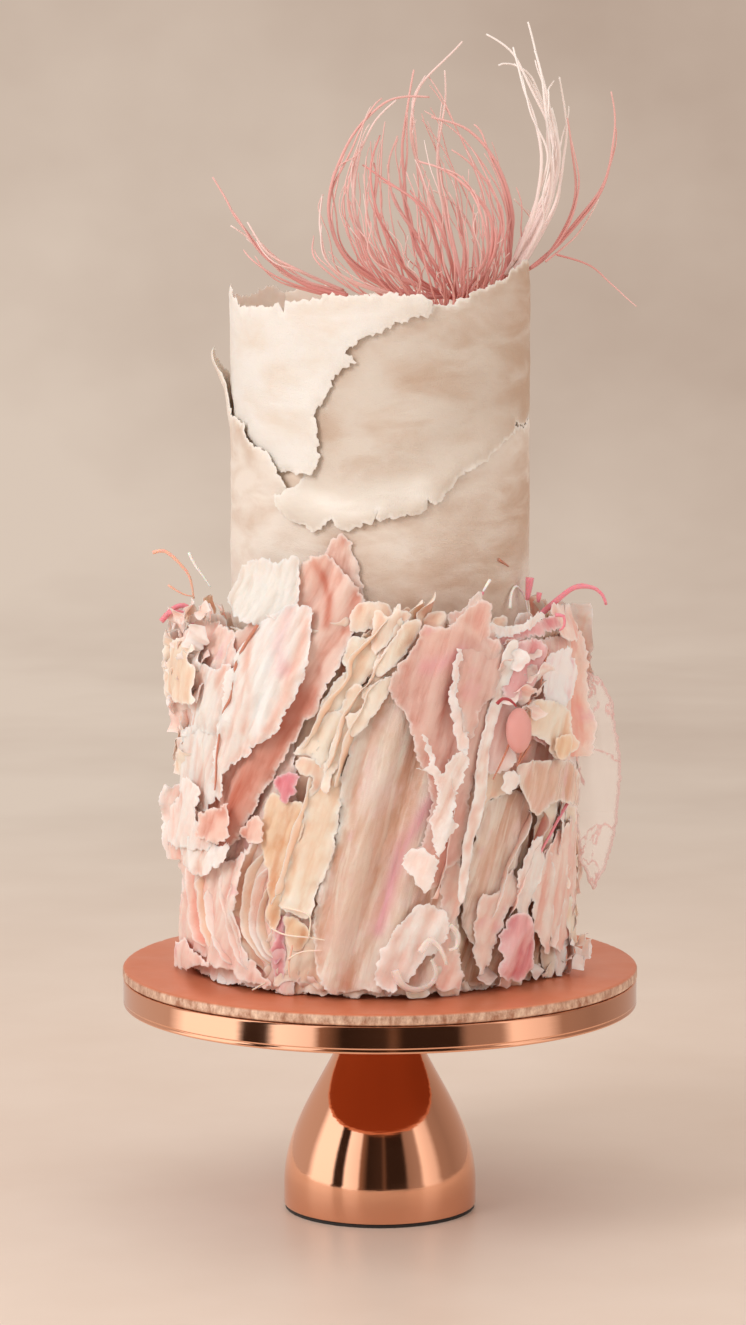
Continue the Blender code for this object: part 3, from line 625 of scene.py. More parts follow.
def mark_shade_light_and_stains(piece, points, shade_light_and_stains, radius):
    """Paints a sheet's marks of painted shade, painted light and rose colour: each has a kind, a reach, an
    amount and a line.
    """
    marks = [(SHADE_LIGHT_AND_STAIN_KINDS.index(kind), reach, amount, flat(line, radius))
             for kind, reach, amount, line in shade_light_and_stains]
    values = np.zeros((len(points), 3), np.float32)
    for i, point in enumerate(points):
        for kind, reach, amount, line in marks:
            here = amount * math.exp(-(distance_to_line(point, line) / reach) ** 2)
            values[i][kind] = max(values[i][kind], here)
    piece.data.attributes.new("stain", "FLOAT_VECTOR", "POINT").data.foreach_set("vector", values.ravel())


def paste_sheet(name, node, corners, lift_lines, material, notches=(), shade_light_and_stains=()):
    """One torn sheet of rolled paste laid round the upper tier."""
    lift = lifted(lift_lines, PASTE_RADIUS)
    nicks = [(flat([mouth], PASTE_RADIUS)[0], flat([tip], PASTE_RADIUS)[0], width)
             for mouth, tip, width in notches]
    outline = outline_points(flat(corners, PASTE_RADIUS), OUTLINE_STEP, PASTE_TEAR, nicks)
    points, faces, depth = filled(outline, PASTE_GRAIN)
    verts, crest = [], []
    for point, inward in zip(points, depth):
        near_edge = math.exp(-inward / 5.0)
        swell = (0.5 * field(point.x / 26, point.y / 17, 5.0) + 0.22 * field(point.x / 8, point.y / 5, 6.0)
                 + 0.08 * field(point.x / 3, point.y / 2, 6.5))
        curl = near_edge * max(-0.2, 0.1 + 1.5 * field(point.x / 7, point.y / 7, 8.0))
        radius = PASTE_RADIUS + lift(point) + max(-0.3, swell) + curl
        verts.append(around(math.degrees(point.x / PASTE_RADIUS), radius, CAKE_BASE + point.y))
        crest.append(0.5 + 0.5 * swell)
    piece = shell(name, verts, faces, depth, crest, points, PASTE_THICKNESS, material, 0.22, 0.9)
    mark_shade_light_and_stains(piece, points, shade_light_and_stains, PASTE_RADIUS)
    return dress(piece, "rolled_paste", node)


bright_paste = paste_finish("bright paste", (0.88, 0.84, 0.79), (0.78, 0.66, 0.55))
grey_paste = paste_finish("grey paste", (0.75, 0.67, 0.59), (0.58, 0.42, 0.31))
rosy_paste = paste_finish("rosy paste", (0.88, 0.80, 0.72), (0.62, 0.45, 0.34))

LEFT_SHEET_EDGE = [(19.5, 334), (19, 328), (12, 326.5), (5, 323.5), (-0.4, 320), (-6, 316.5),
                   (-12, 311), (-9, 305.5), (-15, 302.5), (-19.5, 291), (-24.5, 281), (-22.3, 267),
                   (-23.7, 253)]
CRACK = [(-38.5, 249.5), (-40.5, 255), (-45, 259), (-51.5, 262.5), (-58.5, 269), (-60.5, 274),
         (-72, 279)]
FLAP_EDGE = [(-77, 284), (-82, 296), (-88, 307), (-96, 309), (-104, 301), (-116, 291), (-132, 290)]
TONGUE_EDGE = [(-39.9, 241), (-37.5, 232), (-31.5, 227.5), (-23.7, 224), (-18, 229), (-12.7, 225),
               (1.4, 230.5), (15.5, 234.3), (24, 241), (30.8, 250.8), (41.9, 257.5), (48.3, 263.5),
               (57.4, 269.7), (61, 275)]
LEVEL_JOINT = [(75, 273), (95, 277), (110, 272), (124, 274)]

left_rim = [(-138, 333), (-126, 337), (-112, 333), (-96, 336), (-88, 340), (-70, 331.5),
            (-50, 331.5), (-40, 333.5), (-13, 337.5), (7, 338), (17, 336.5)]
left_foot = [(-30, 251.5), (-37, 252.5), (-43, 253), (-52, 258), (-61, 268), (-73, 274),
             (-81, 281), (-89, 293), (-101, 295), (-117, 286), (-133, 285), (-148, 285)]
paste_sheet("left_paste", "left_sheet", left_foot[::-1] + LEFT_SHEET_EDGE[::-1] + left_rim[::-1],
            [(LEFT_SHEET_EDGE, 3.0, 12), ([(-30, 251.5), (-29, 252)], 2.0, 9)], bright_paste,
            [((-40, 334), (-39, 326), 1.6), ((-23, 336), (-22.4, 331), 1.3), ((-62, 332), (-61, 328), 1.2)])

right_rim = [(117, 333), (107, 337), (95, 341), (84, 350), (76.5, 352.5), (61.5, 348.5),
             (51, 342.5), (40, 339.5), (31, 334.5), (22.5, 333.7), (15, 333)]
under_left = [(11.8, 331.5), (4.8, 328.5), (-0.4, 325), (-7, 321), (-15.5, 315), (-14.5, 305.5),
              (-19.5, 303.5), (-24, 292), (-28.5, 282), (-26.5, 267), (-28, 257), (-31.5, 248),
              (-36.5, 243)]
paste_sheet("right_paste", "right_sheet", TONGUE_EDGE + LEVEL_JOINT + right_rim + under_left,
            [(TONGUE_EDGE[1:-1], 3.2, 11), ([(-39.9, 241), (-39, 239)], 4.2, 10)], grey_paste,
            [((-1.7, 228.5), (0.5, 239), 1.5), ((18.5, 236.5), (17, 244), 1.3),
             ((44.4, 261), (50.5, 264.5), 1.5), ((32.4, 338), (36.5, 326), 1.9),
             ((19.5, 334), (20, 326), 1.4)],
            # Darker round the right side; painted shadow of the left sheet's edge; a darker band; painted
            # light on the tongue
            shade_light_and_stains=[("deep", 45, 1.0, [(82, 260), (78, 340)]),
                    ("deep", 9, 0.7, [(-12, 318), (-20, 290), (-22, 262)]),
                    ("deep", 10, 0.5, [(10, 300), (40, 296)]),
                    ("pale", 8, 0.9, [(-34, 240), (-10, 236), (14, 244)])])

SEAM = 179.6
LOWER_SHEET_FOOT = 170.6
under_tongue = [(-36, 244.5), (-32, 237), (-24, 230.5), (-17.5, 235.5), (-12.5, 231.5),
                (1.4, 237), (15, 241), (23, 247), (30, 257), (41, 263.5), (48, 270), (56, 274),
                (62, 273.6)]
level = [(bearing, height - 1.0) for bearing, height in LEVEL_JOINT[:-1]]
lower_top = [(-SEAM, 208), (-165, 209), (-152, 212), (-148, 222), (-144, 282), *FLAP_EDGE[::-1],
             *CRACK[::-1], *under_tongue, *level, (121, 267), (126, 222), (132, 211), (150, 209),
             (SEAM, 208)]
lower_bottom = [(-SEAM + i * SEAM / 6, LOWER_SHEET_FOOT) for i in range(13)]
lip = [(-146, 284), *FLAP_EDGE[::-1], *CRACK[::-1]]
paste_sheet("lower_paste", "lower_sheet", lower_bottom + lower_top[::-1],
            [(lip, 3.0, 12), ([(-102, 305), (-88, 307)], 7.0, 13)], rosy_paste,
            # Darker round the right side; painted shade beneath the tongue and along the crack and the flap's
            # edge
            shade_light_and_stains=[("deep", 26, 1.0, [(30, 180), (44, 215), (84, 240)]),
                    ("deep", 14, 0.8, [(-14, 215), (10, 190)]),
                    ("deep", 6, 0.8, [(-84, 300), (-72, 285), (-56, 262)])])

back_rim = [(224, 334), (205, 338), (190, 332), (172, 337), (155, 334), (138, 339), (112, 335)]
back_foot = [(127, 205), (137, 199), (150, 204), (163, 208), (178, 202), (195, 206), (211, 204)]
back_sides = [[(110, 330), (117, 290), (119, 240), (124, 210)],
              [(213, 210), (217, 240), (219, 290), (226, 330)]]
paste_sheet("back_paste", "back_sheet", back_foot + back_sides[1] + back_rim + back_sides[0],
            [(back_sides[0], 4.2, 13), (back_sides[1], 6.0, 14), (back_foot, 4.6, 15)], bright_paste)


# The ruffles: strips of thin wafer paper, misted so that they wave, stuck by one edge to the lower
# tier and left standing free along the other, each leaning over the next.
WAFER_THICKNESS = 0.5
# How thin a wafer sheet's rim is, as a share of its thickness
THIN_RIM = 0.5
RUFFLE_SAG = 12.0
RUFFLE_FRILL = 1.6
# From which share of its length a ruffle's upper end is torn
TORN_FROM = 0.9166


def wafer_finish(name, pale, body, deep, second=None, blush=(0.86, 0.33, 0.40), blush_amount=0.0,
                 roughness=0.5, lights=0.5, rough_by=0.8, coat=0.0, streaks=0.10):
    """Thin wafer paper: painted shade deep in its folds, painted highlights pale on its crests, streaked
    along its grain.
    """
    material, tree, shader = finish(name, body, roughness)
    masks = put(tree, "ShaderNodeGroup", {"node_tree": sheet_masks},
                {"Streak Scale": streaks, "Streak Stretch": 0.13, "Blotch Scale": 0.045}).outputs
    # Painted shade: the tone runs to deep where the crest is low, in the folds
    crest = maths(tree, "SUBTRACT", masks["Crest"], spread(tree, masks["Crumple"], 0.35, 0.9, -0.12, 0.2))
    ground = blended(tree, spread(tree, masks["Blotch"], 0.58, 0.42), (*body, 1.0), (*(second or body), 1.0))
    tone = blended(tree, spread(tree, crest, 0.0, 0.55), (*deep, 1.0), ground)
    # Painted highlights: pale on the high crests and on bright streaks
    high = maths(tree, "MULTIPLY", spread(tree, masks["Crest"], 0.5, 1.15),
                 spread(tree, masks["Blotch"], 0.35, 0.65, 0.3, 1.0))
    tone = blended(tree, high, tone, (*pale, 1.0))
    tone = blended(tree, spread(tree, masks["Streak"], 0.48, 0.68, 0.0, lights), tone, (*pale, 1.0))
    tone = blended(tree, spread(tree, masks["Streak"], 0.46, 0.32, 0.0, 0.5), tone, (*deep, 1.0))
    if blush_amount:
        stain = maths(tree, "MULTIPLY", spread(tree, masks["Blotch"], 0.56, 0.68, 0.0, blush_amount),
                      spread(tree, masks["Streak"], 0.4, 0.6))
        tone = blended(tree, stain, tone, (*blush, 1.0))
    # The marks: deep mostly painted shade, pale mostly painted light, rose the sheet's own colour
    for kind, colour in (("Deep", deep), ("Pale", pale), ("Rose", blush)):
        tone = blended(tree, masks[kind], tone, (*colour, 1.0))
    # A pale rim: partly the torn edge's own colour, partly painted light
    edge = [min(1.0, 0.35 + 0.65 * c) for c in pale]
    tone = blended(tree, maths(tree, "MULTIPLY", masks["Rim"], 0.8), tone, (*edge, 1.0))
    satin = spread(tree, masks["Streak"], 0.3, 0.7, roughness - 0.10, roughness + 0.12)
    feed(tree, shader, {"Base Color": tone, "Roughness": satin, "Subsurface Weight": 0.5,
                        "Subsurface Radius": (1.0, 0.6, 0.5), "Subsurface Scale": 0.0025,
                        "Coat Weight": coat, "Coat Roughness": 0.2})
    height = maths(tree, "ADD", maths(tree, "MULTIPLY", masks["Grain"], 0.5), masks["Crumple"])
    height = maths(tree, "ADD", height, maths(tree, "MULTIPLY", masks["Streak"], 2.0))
    bumped(tree, shader, height, 0.0006, rough_by)
    return material


pink_wafer = wafer_finish("pink wafer", (0.97, 0.78, 0.71), (0.94, 0.56, 0.48), (0.86, 0.35, 0.29),
                          (0.95, 0.69, 0.61), blush_amount=0.6, lights=0.6, rough_by=0.6)
cream_wafer = wafer_finish("cream wafer", (0.97, 0.86, 0.75), (0.93, 0.74, 0.60), (0.84, 0.47, 0.31),
                           (0.94, 0.69, 0.54), lights=0.4, rough_by=0.4)
peach_wafer = wafer_finish("peach wafer", (0.95, 0.79, 0.67), (0.91, 0.60, 0.46), (0.80, 0.38, 0.26),
                           (0.93, 0.70, 0.57), blush_amount=0.3, lights=0.35, rough_by=0.4)
white_wafer = wafer_finish("white wafer", (0.97, 0.91, 0.87), (0.95, 0.80, 0.74), (0.90, 0.52, 0.45),
                           (0.94, 0.70, 0.63), rough_by=0.7)
WAFERS = ((pink_wafer, "pink_wafer"), (cream_wafer, "cream_wafer"), (peach_wafer, "peach_wafer"),
          (white_wafer, "white_wafer"))
WAFER_COLOURS = ("pink", "cream", "peach", "white")


def grid_faces(rows, columns):
    """Quads between rows of points, each row with one point more than it has columns."""
    faces = []
    for i in range(rows):
        for k in range(columns):
            a = i * (columns + 1) + k
            b = a + columns + 1
            faces.append((a, a + 1, b + 1, b))
    return faces


def ruffle(name, bearing, foot, head, width, tilt, kind, node, lean=0.2, wave=2.0, wavelength=46.0,
           phase=0.0, root=0.6, side=-1, crinkle=1.0, grain=1.6):
    """Heights are above the board, the bearing is where the fixed edge meets the board, the tilt
    is the angle between the strip and the tier's side, and side says which way the free edge lies."""
    along = max(8, round((head - foot) / grain))
    across = max(5, round(width / grain))
    root_radius = LOWER_RADIUS + root
    slope = math.radians(tilt)
    verts, depth, crest, laid = [], [], [], []
    for i in range(along + 1):
        share = i / along
        height = foot + (head - foot) * share
        tear = field(phase * 3.1, height * 0.035, 1.3)
        reach = width * (0.86 + 0.3 * tear) * (1 - 0.25 * (2 * share - 1) ** 4)
        fray = (0.16 * field(height * 0.13, phase, 2.1) + 0.08 * ridged(height * 0.33, phase, 4.2)
                + 0.04 * field(height * 1.1, phase, 5.2))
        frill = RUFFLE_FRILL * (math.sin(math.tau * height / 19 + 4 * field(height * 0.03, phase, 6.3))
                                + 0.9 * field(height / 6.5, phase, 6.8))
        for k in range(across + 1):
            out = k / across
            stretch = out * (1.0 + fray * out ** 5)
            swell = wave * out * math.sin(math.tau * height / wavelength + phase)
            x = out * width
            creases = (0.75 * ridged(x / 9 + 0.04 * height, height / 30 + phase, 7.0)
                       + 0.25 * ridged(x / 4.0, height / 13 + phase, 9.0)
                       + 0.06 * ridged(x / 1.9, height / 6 + phase, 10.0)
                       + 0.8 * out * field(x / 16, height / 9 + phase, 12.0))
            swell += crinkle * (0.3 + 0.7 * out) * creases + frill * out ** 2.2
            outward = max(0.0, reach * stretch * math.sin(slope) + swell * math.cos(slope))
            sideways = reach * stretch * math.cos(slope) - swell * math.sin(slope)
            turn = bearing + lean * height + side * math.degrees(sideways / root_radius)
            sag = RUFFLE_SAG * out * share * (1 - share) * math.sin(phase + 1.7 * share)
            end_tear = 2.6 * field(x / 7, phase, 15.0) + 1.0 * field(x / 2.2, phase, 16.0)
            sag += end_tear * max(0.0, 12.0 * (share - TORN_FROM))
            verts.append(around(turn, root_radius + outward, CAKE_BASE + max(0.3, height + sag)))
            to_end = (1 - share) * (head - foot)
            near = min((1 - out) * reach, to_end)
            depth.append(near)
            # Painted shade towards the fixed edge and in the creases, painted light towards the free edge
            crest.append(0.12 + 0.50 * out + 0.20 * creases + 0.10 * frill * out * out)
            laid.append((x, height + 40.0 * phase))
    faces = [(a, d, c, b) if side < 0 else (b, c, d, a) for a, b, c, d in grid_faces(along, across)]
    material, slot = kind
    dress(shell(name, verts, faces, depth, crest, laid, WAFER_THICKNESS, material, THIN_RIM), slot, node)


RUFFLE_ORDER = (0, 1, 0, 2, 3, 0, 1, 0, 2, 0, 3)
for i, kind in enumerate(RUFFLE_ORDER):
    head = 171.0 + 6.0 * math.sin(2.4 * i) + 4.0 * math.sin(5.1 * i + 1.0)
    first = i == 0
    ruffle(f"wafer_ruffle_{i + 1:02d}", -62.0 - 20.0 * i, 0.4, head, 43.0 - (5.0 if first else 0.0),
           20.0 - (6.0 if first else 0.0), WAFERS[kind], f"ruffle_{i + 1:02d}", phase=2.39996 * i,
           wavelength=44.0 + 8.0 * math.sin(3.3 * i))
for i, width in enumerate((33.0, 33.0, 20.0)):
    ruffle(f"wafer_high_ruffle_{i + 1}", 38.0 + 20.0 * i, 112.0, 172.0 + 5.0 * i, width, 15.0,
           WAFERS[i % 2], f"high_ruffle_{i + 1}", phase=1.1 * i)
for i in range(6):
    ruffle(f"wafer_cream_fin_{i + 1}", -31.6 + 3.0 * i, 2.0 + 5.0 * (i % 2), 178.0 + 3.5 * i, 20.0 - 1.0 * i,
           52.0, WAFERS[1 + i % 2], f"cream_fin_{i + 1}", lean=0.18, wave=1.6, wavelength=38.0, phase=0.4,
           crinkle=0.5, grain=1.3)
for i in range(3):
    ruffle(f"wafer_pleat_{i + 1}", -50.5 + 5.0 * i, 1.0, 92.0 + 8.0 * i, 15.0, 44.0, WAFERS[(1, 3, 2)[i]],
           f"cream_pleat_{i + 1}", lean=0.15, wavelength=70.0, phase=0.2, crinkle=0.35, grain=1.3)
ruffle("wafer_left_tab", -86.0, 130.0, 168.0, 15.0, 70.0, WAFERS[1], "left_tab", lean=0.0, root=15.5,
       grain=1.0)
ruffle("wafer_white_tab", -84.0, 54.0, 92.0, 15.0, 70.0, WAFERS[3], "white_tab", lean=0.0, root=15.5,
       phase=2.0, grain=1.0)
ruffle("wafer_flank", 83.0, 106.0, 168.0, 23.0, 64.0, WAFERS[0], "flank_sheet", lean=0.0, wave=1.5, root=6.5,
       side=1, crinkle=0.4, grain=1.3)


# The scraps: offcuts of the same wafer paper, torn small, crumpled and tucked between the ruffles
# with their loose ends out. Each colour is one piece.
SCRAP_GRAIN = 1.5
# Steps that spread the scraps evenly over bearing, height and size
EVEN_STEPS = (0.6180339, 0.7548777, 0.5698403)


def scrap(seed, bearing, height, radius, length, width, swing, tilt, bow):
    """One torn offcut: its swing is its lean from upright, its tilt lifts one side and its bow
    lifts both ends."""
    along, across = max(6, round(length / SCRAP_GRAIN)), max(5, round(width / SCRAP_GRAIN))
    verts, depth, crest, laid = [], [], [], []
    lean = math.radians(swing)
    for i in range(along + 1):
        u = i / along
        half = 0.5 * width * math.sin(math.pi * min(1.0, max(0.0, 0.03 + 0.94 * u))) ** 0.8
        left, right = (half * (1 + 0.9 * field(u * length / 6, seed, layer)
                               + 0.3 * ridged(u * length / 2.2, seed, layer + 1.0)) for layer in (81.0, 83.0))
        drift = 0.35 * width * field(u * length / 22, seed, 85.0)
        for k in range(across + 1):
            v = k / across
            side = -left + (left + right) * v + drift
            run = (u - 0.5) * length + 1.5 * field(side / 4, seed, 86.0) * (2 * u - 1) ** 2
            creases = (1.6 * ridged(side / 7 + 0.5 * field(run / 12, seed, 87.5), run / 16, seed + 87.0)
                       + 0.35 * ridged(side / 3.0, run / 6, seed + 88.0))
            out = radius + tilt * (v - 0.5) * width + bow * (2 * u - 1) ** 2 + creases
            x = side * math.cos(lean) + run * math.sin(lean)
            y = run * math.cos(lean) - side * math.sin(lean)
            turn = bearing + math.degrees(x / radius)
            verts.append(around(turn, out, CAKE_BASE + max(0.4, height + y)))
            depth.append(min(v * (left + right), (1 - v) * (left + right), u * length, (1 - u) * length))
            crest.append(0.45 + 0.25 * creases + 0.15 * (v - 0.5))
            laid.append((side + 37.0 * seed, run))
    return grid_faces(along, across), verts, depth, crest, laid


def scatter(name, kind, spots):
    """Many scraps of one colour as one piece."""
    verts, faces, depth, crest, laid = [], [], [], [], []
    for spot in spots:
        part_faces, *part = scrap(*spot)
        faces += [tuple(i + len(verts) for i in face) for face in part_faces]
        for joined, added in zip((verts, depth, crest, laid), part):
            joined += added
    material, slot = kind
    dress(shell(name, verts, faces, depth, crest, laid, WAFER_THICKNESS, material, 0.4), slot)


# Each zone: first and last bearing, lowest and highest, how many, radius, length, width, swing, tilt
# and which colours it takes in turn
ZONES = (
    (-92, -58, 135, 186, 44, 99, 12, 8, 60, 0.6, (3, 0, 3, 0, 1)),
    (-92, -66, 96, 130, 14, 97, 18, 10, 30, 0.5, (3, 0, 1)),
    (-100, -60, 10, 88, 12, 92, 30, 9, 14, 0.4, (0, 3, 0)),
    (-180, 180, 166, 178, 50, 86, 16, 11, 30, 0.3, (0, 1, 2, 3)),
    (-180, 180, 3, 8, 80, 90, 9, 6, 60, 0.4, (0, 3, 0, 1)),
    (34, 48, 138, 172, 16, 104, 9, 6, 70, 0.7, (0, 3, 0)),
    (60, 92, 8, 100, 22, 93, 34, 8, 14, 0.4, (0, 1, 3)),
    (70, 84, 4, 16, 10, 101, 8, 5, 60, 0.7, (3,)),
    (96, 250, 14, 165, 70, 97, 32, 13, 14, 0.6, (0, 1, 0, 2, 3)),
)
piles = [[], [], [], []]
number = 0
for first, last, low, high, count, radius, length, width, swing, tilt, colours in ZONES:
    for i in range(count):
        number += 1
        a, b, c = (math.fmod(number * step, 1.0) for step in EVEN_STEPS)
        bearing = first + (last - first) * (i + 0.5 * a) / count
        height = low + (high - low) * b
        size = 0.6 + 0.8 * c
        lean = swing * (0.4 + 1.2 * math.fmod(number * 0.41, 1.0)) * (1 if radius > 92 else (-1) ** number)
        slope = tilt * (1 if math.fmod(number * 0.29, 1.0) > 0.35 else -1)
        piles[colours[number % len(colours)]].append(
            (number * 1.37, bearing, height, radius - 4 + 8 * c, length * size, width * size, lean, slope,
             2.0 * math.fmod(number * 0.83, 1.0)))
for kind, colour, spots in zip(WAFERS, WAFER_COLOURS, piles):
    scatter(f"{colour}_scraps", kind, spots)


# The drapes: larger torn sheets of wafer paper, damped, crumpled in the hand and laid over the
# ruffles at the front. The glossy ones are painted with syrup.
DRAPE_RADIUS = 98.0
LEDGE = 150.0
BROW = 205.0
# The 746 by 1325 front view and three patches of it: the pixels of each patch's left and top, and
# how many of its steps make one pixel. What follows a shape in the view is drawn in steps from a
# patch's corner, and the camera's own place lays it on the cake.
VIEW_FRAME = Vector((746.0, 1325.0))
VIEW_PATCHES = {"left": (150.0, 540.0, 4.0), "right": (380.0, 540.0, 4.0), "top": (200.0, 10.0, 2.227)}
EYE = camera.location / MM


def view_ray(patch, x, y):
    """The direction from the camera to a point of a patch, one unit deep."""
    left, top, steps = VIEW_PATCHES[patch]
    focal = camera.data.lens / camera.data.sensor_width * VIEW_FRAME.y
    right = (left + x / steps - VIEW_FRAME.x / 2) / focal
    up = (VIEW_FRAME.y / 2 - top - y / steps) / focal
    return camera.rotation_euler.to_matrix() @ Vector((right, up, -1.0))


def fallen(height, fall):
    """How far a sheet has leant back towards the upper tier at a height."""
    rise = min(1.0, max(0.0, (height - LEDGE) / (BROW - LEDGE)))
    return fall * rise * rise * (3 - 2 * rise)


def on_cake(patch, spots, stand, fall=0.0):
    """Bearings and heights of a patch's points on a sheet at a stand from the lower tier."""
    places = []
    for x, y in spots:
        ray = view_ray(patch, x, y)
        height = LEDGE
        for _ in range(6):
            radius = LOWER_RADIUS + stand - fallen(height, fall)
            a = ray.x ** 2 + ray.y ** 2
            b = EYE.x * ray.x + EYE.y * ray.y
            c = EYE.x ** 2 + EYE.y ** 2 - radius ** 2
            spot = EYE + ray * (-b - math.sqrt(max(0.0, b * b - a * c))) / a
            height = max(1.0, spot.z - CAKE_BASE)
        places.append((math.degrees(math.atan2(spot.x, -spot.y)), height))
    return places


def at_depth(patch, spots, depths):
    """Places of a patch's points, each on an upright plane at its own depth."""
    rays = [view_ray(patch, x, y) for x, y in spots]
    return [EYE + ray * (depth - EYE.y) / ray.y for ray, depth in zip(rays, depths)]


def draped_sheet(name, node, slot, corners, stand, material, fold=0.0, pitch=30.0, lean=0.17, phase=0.0,
                 lifts=(), fall=0.0, tear=1.4, crumple=1.0, soft=0.0, grain=1.7, shade_light_and_stains=()):
    """The stand is the sheet's middle distance from the tier, its folds run up the cake with the
    lean, and the fall is how far it leans back towards the upper tier above the lower one."""
    lift = lifted(lifts, DRAPE_RADIUS)
    outline = outline_points(flat(corners, DRAPE_RADIUS), OUTLINE_STEP, tear)
    points, faces, depth = filled(outline, grain)
    verts, crest, laid = [], [], []
    for point, inward in zip(points, depth):
        bearing = math.degrees(point.x / DRAPE_RADIUS)
        across = girth(bearing - lean * point.y, DRAPE_RADIUS)
        back = fallen(point.y, fall)
        wave = math.sin(math.tau * across / pitch + phase)
        bent = 0.5 * field(across / 24, point.y / 21, 20.0 + phase)
        creases = (1.0 * ridged(across / 12 + bent, point.y / 40, 21.0 + phase)
                   + 0.3 * ridged(across / 5.0 + bent, point.y / 14, 22.0 + phase)
                   + 0.1 * ridged(across / 2.2, point.y / 6, 23.0 + phase))
        folds = (1.2 * field(across / 8.0 + bent, point.y / 65, 24.0 + phase)
                 + 0.3 * ridged(across / 4.4 + bent, point.y / 60, 25.0 + phase)
                 + 0.06 * ridged(across / 1.6, point.y / 26, 27.0 + phase))
        relief = crumple * creases + soft * folds
        edge_free = math.exp(-inward / 5.0)
        relief += edge_free * 1.8 * field(point.x / 6.5, point.y / 6.5, 26.0 + phase)
        out = stand + fold * wave - back + lift(point) + relief
        verts.append(around(bearing, LOWER_RADIUS + out, CAKE_BASE + max(0.3, point.y)))
        crest.append(0.48 + 0.2 * wave * min(1.0, fold) + 0.34 * relief / max(0.6, crumple + soft))
        laid.append((across, point.y))
    piece = shell(name, verts, faces, depth, crest, laid, WAFER_THICKNESS, material, THIN_RIM)
    mark_shade_light_and_stains(piece, points, shade_light_and_stains, DRAPE_RADIUS)
    return dress(piece, slot, *([node] if node else []))


salmon_wafer = wafer_finish("salmon wafer", (0.91, 0.66, 0.58), (0.82, 0.41, 0.33), (0.56, 0.16, 0.10),
                            (0.88, 0.53, 0.45), lights=0.5, rough_by=0.5)
panel_wafer = wafer_finish("pale panel wafer", (0.98, 0.91, 0.87), (0.95, 0.76, 0.69), (0.84, 0.40, 0.31),
                           (0.96, 0.82, 0.75), lights=0.8, rough_by=1.0)
tissue_wafer = wafer_finish("white tissue", (0.93, 0.89, 0.85), (0.86, 0.77, 0.70), (0.72, 0.53, 0.42),
                            rough_by=1.0)
amber_wafer = wafer_finish("amber wafer", (0.92, 0.72, 0.54), (0.85, 0.49, 0.30), (0.70, 0.29, 0.14),
                           (0.88, 0.58, 0.42), rough_by=0.5)
magenta_wafer = wafer_finish("magenta wafer", (0.85, 0.40, 0.44), (0.70, 0.16, 0.21), (0.52, 0.07, 0.10))
bud_wafer = wafer_finish("bud wafer", (0.96, 0.80, 0.76), (0.89, 0.60, 0.56), (0.72, 0.36, 0.33),
                         rough_by=0.3, coat=0.3)
glossy_wafer = wafer_finish("glossy wafer", (0.92, 0.78, 0.68), (0.77, 0.50, 0.39), (0.66, 0.34, 0.23),
                            (0.86, 0.58, 0.52), blush=(0.82, 0.34, 0.40), blush_amount=0.4, roughness=0.24,
                            lights=0.85, rough_by=0.7, coat=0.6, streaks=0.20)
veil_wafer = wafer_finish("veil wafer", (0.85, 0.60, 0.53), (0.74, 0.40, 0.34), (0.62, 0.26, 0.21),
                          (0.79, 0.48, 0.42), blush=(0.82, 0.32, 0.39), blush_amount=0.4, roughness=0.3,
                          lights=0.6, rough_by=0.5, coat=0.4, streaks=0.15)
fan_wafer = wafer_finish("fan wafer", (0.80, 0.63, 0.51), (0.56, 0.31, 0.21), (0.44, 0.19, 0.12),
                         (0.56, 0.40, 0.28), blush=(0.76, 0.26, 0.32), blush_amount=0.7, roughness=0.26,
                         lights=0.85, rough_by=0.7, coat=0.5, streaks=0.2)
ribbon_wafer = wafer_finish("ribbon wafer", (0.97, 0.92, 0.88), (0.94, 0.80, 0.73), (0.86, 0.52, 0.44),
                            roughness=0.35, rough_by=0.25, coat=0.3)

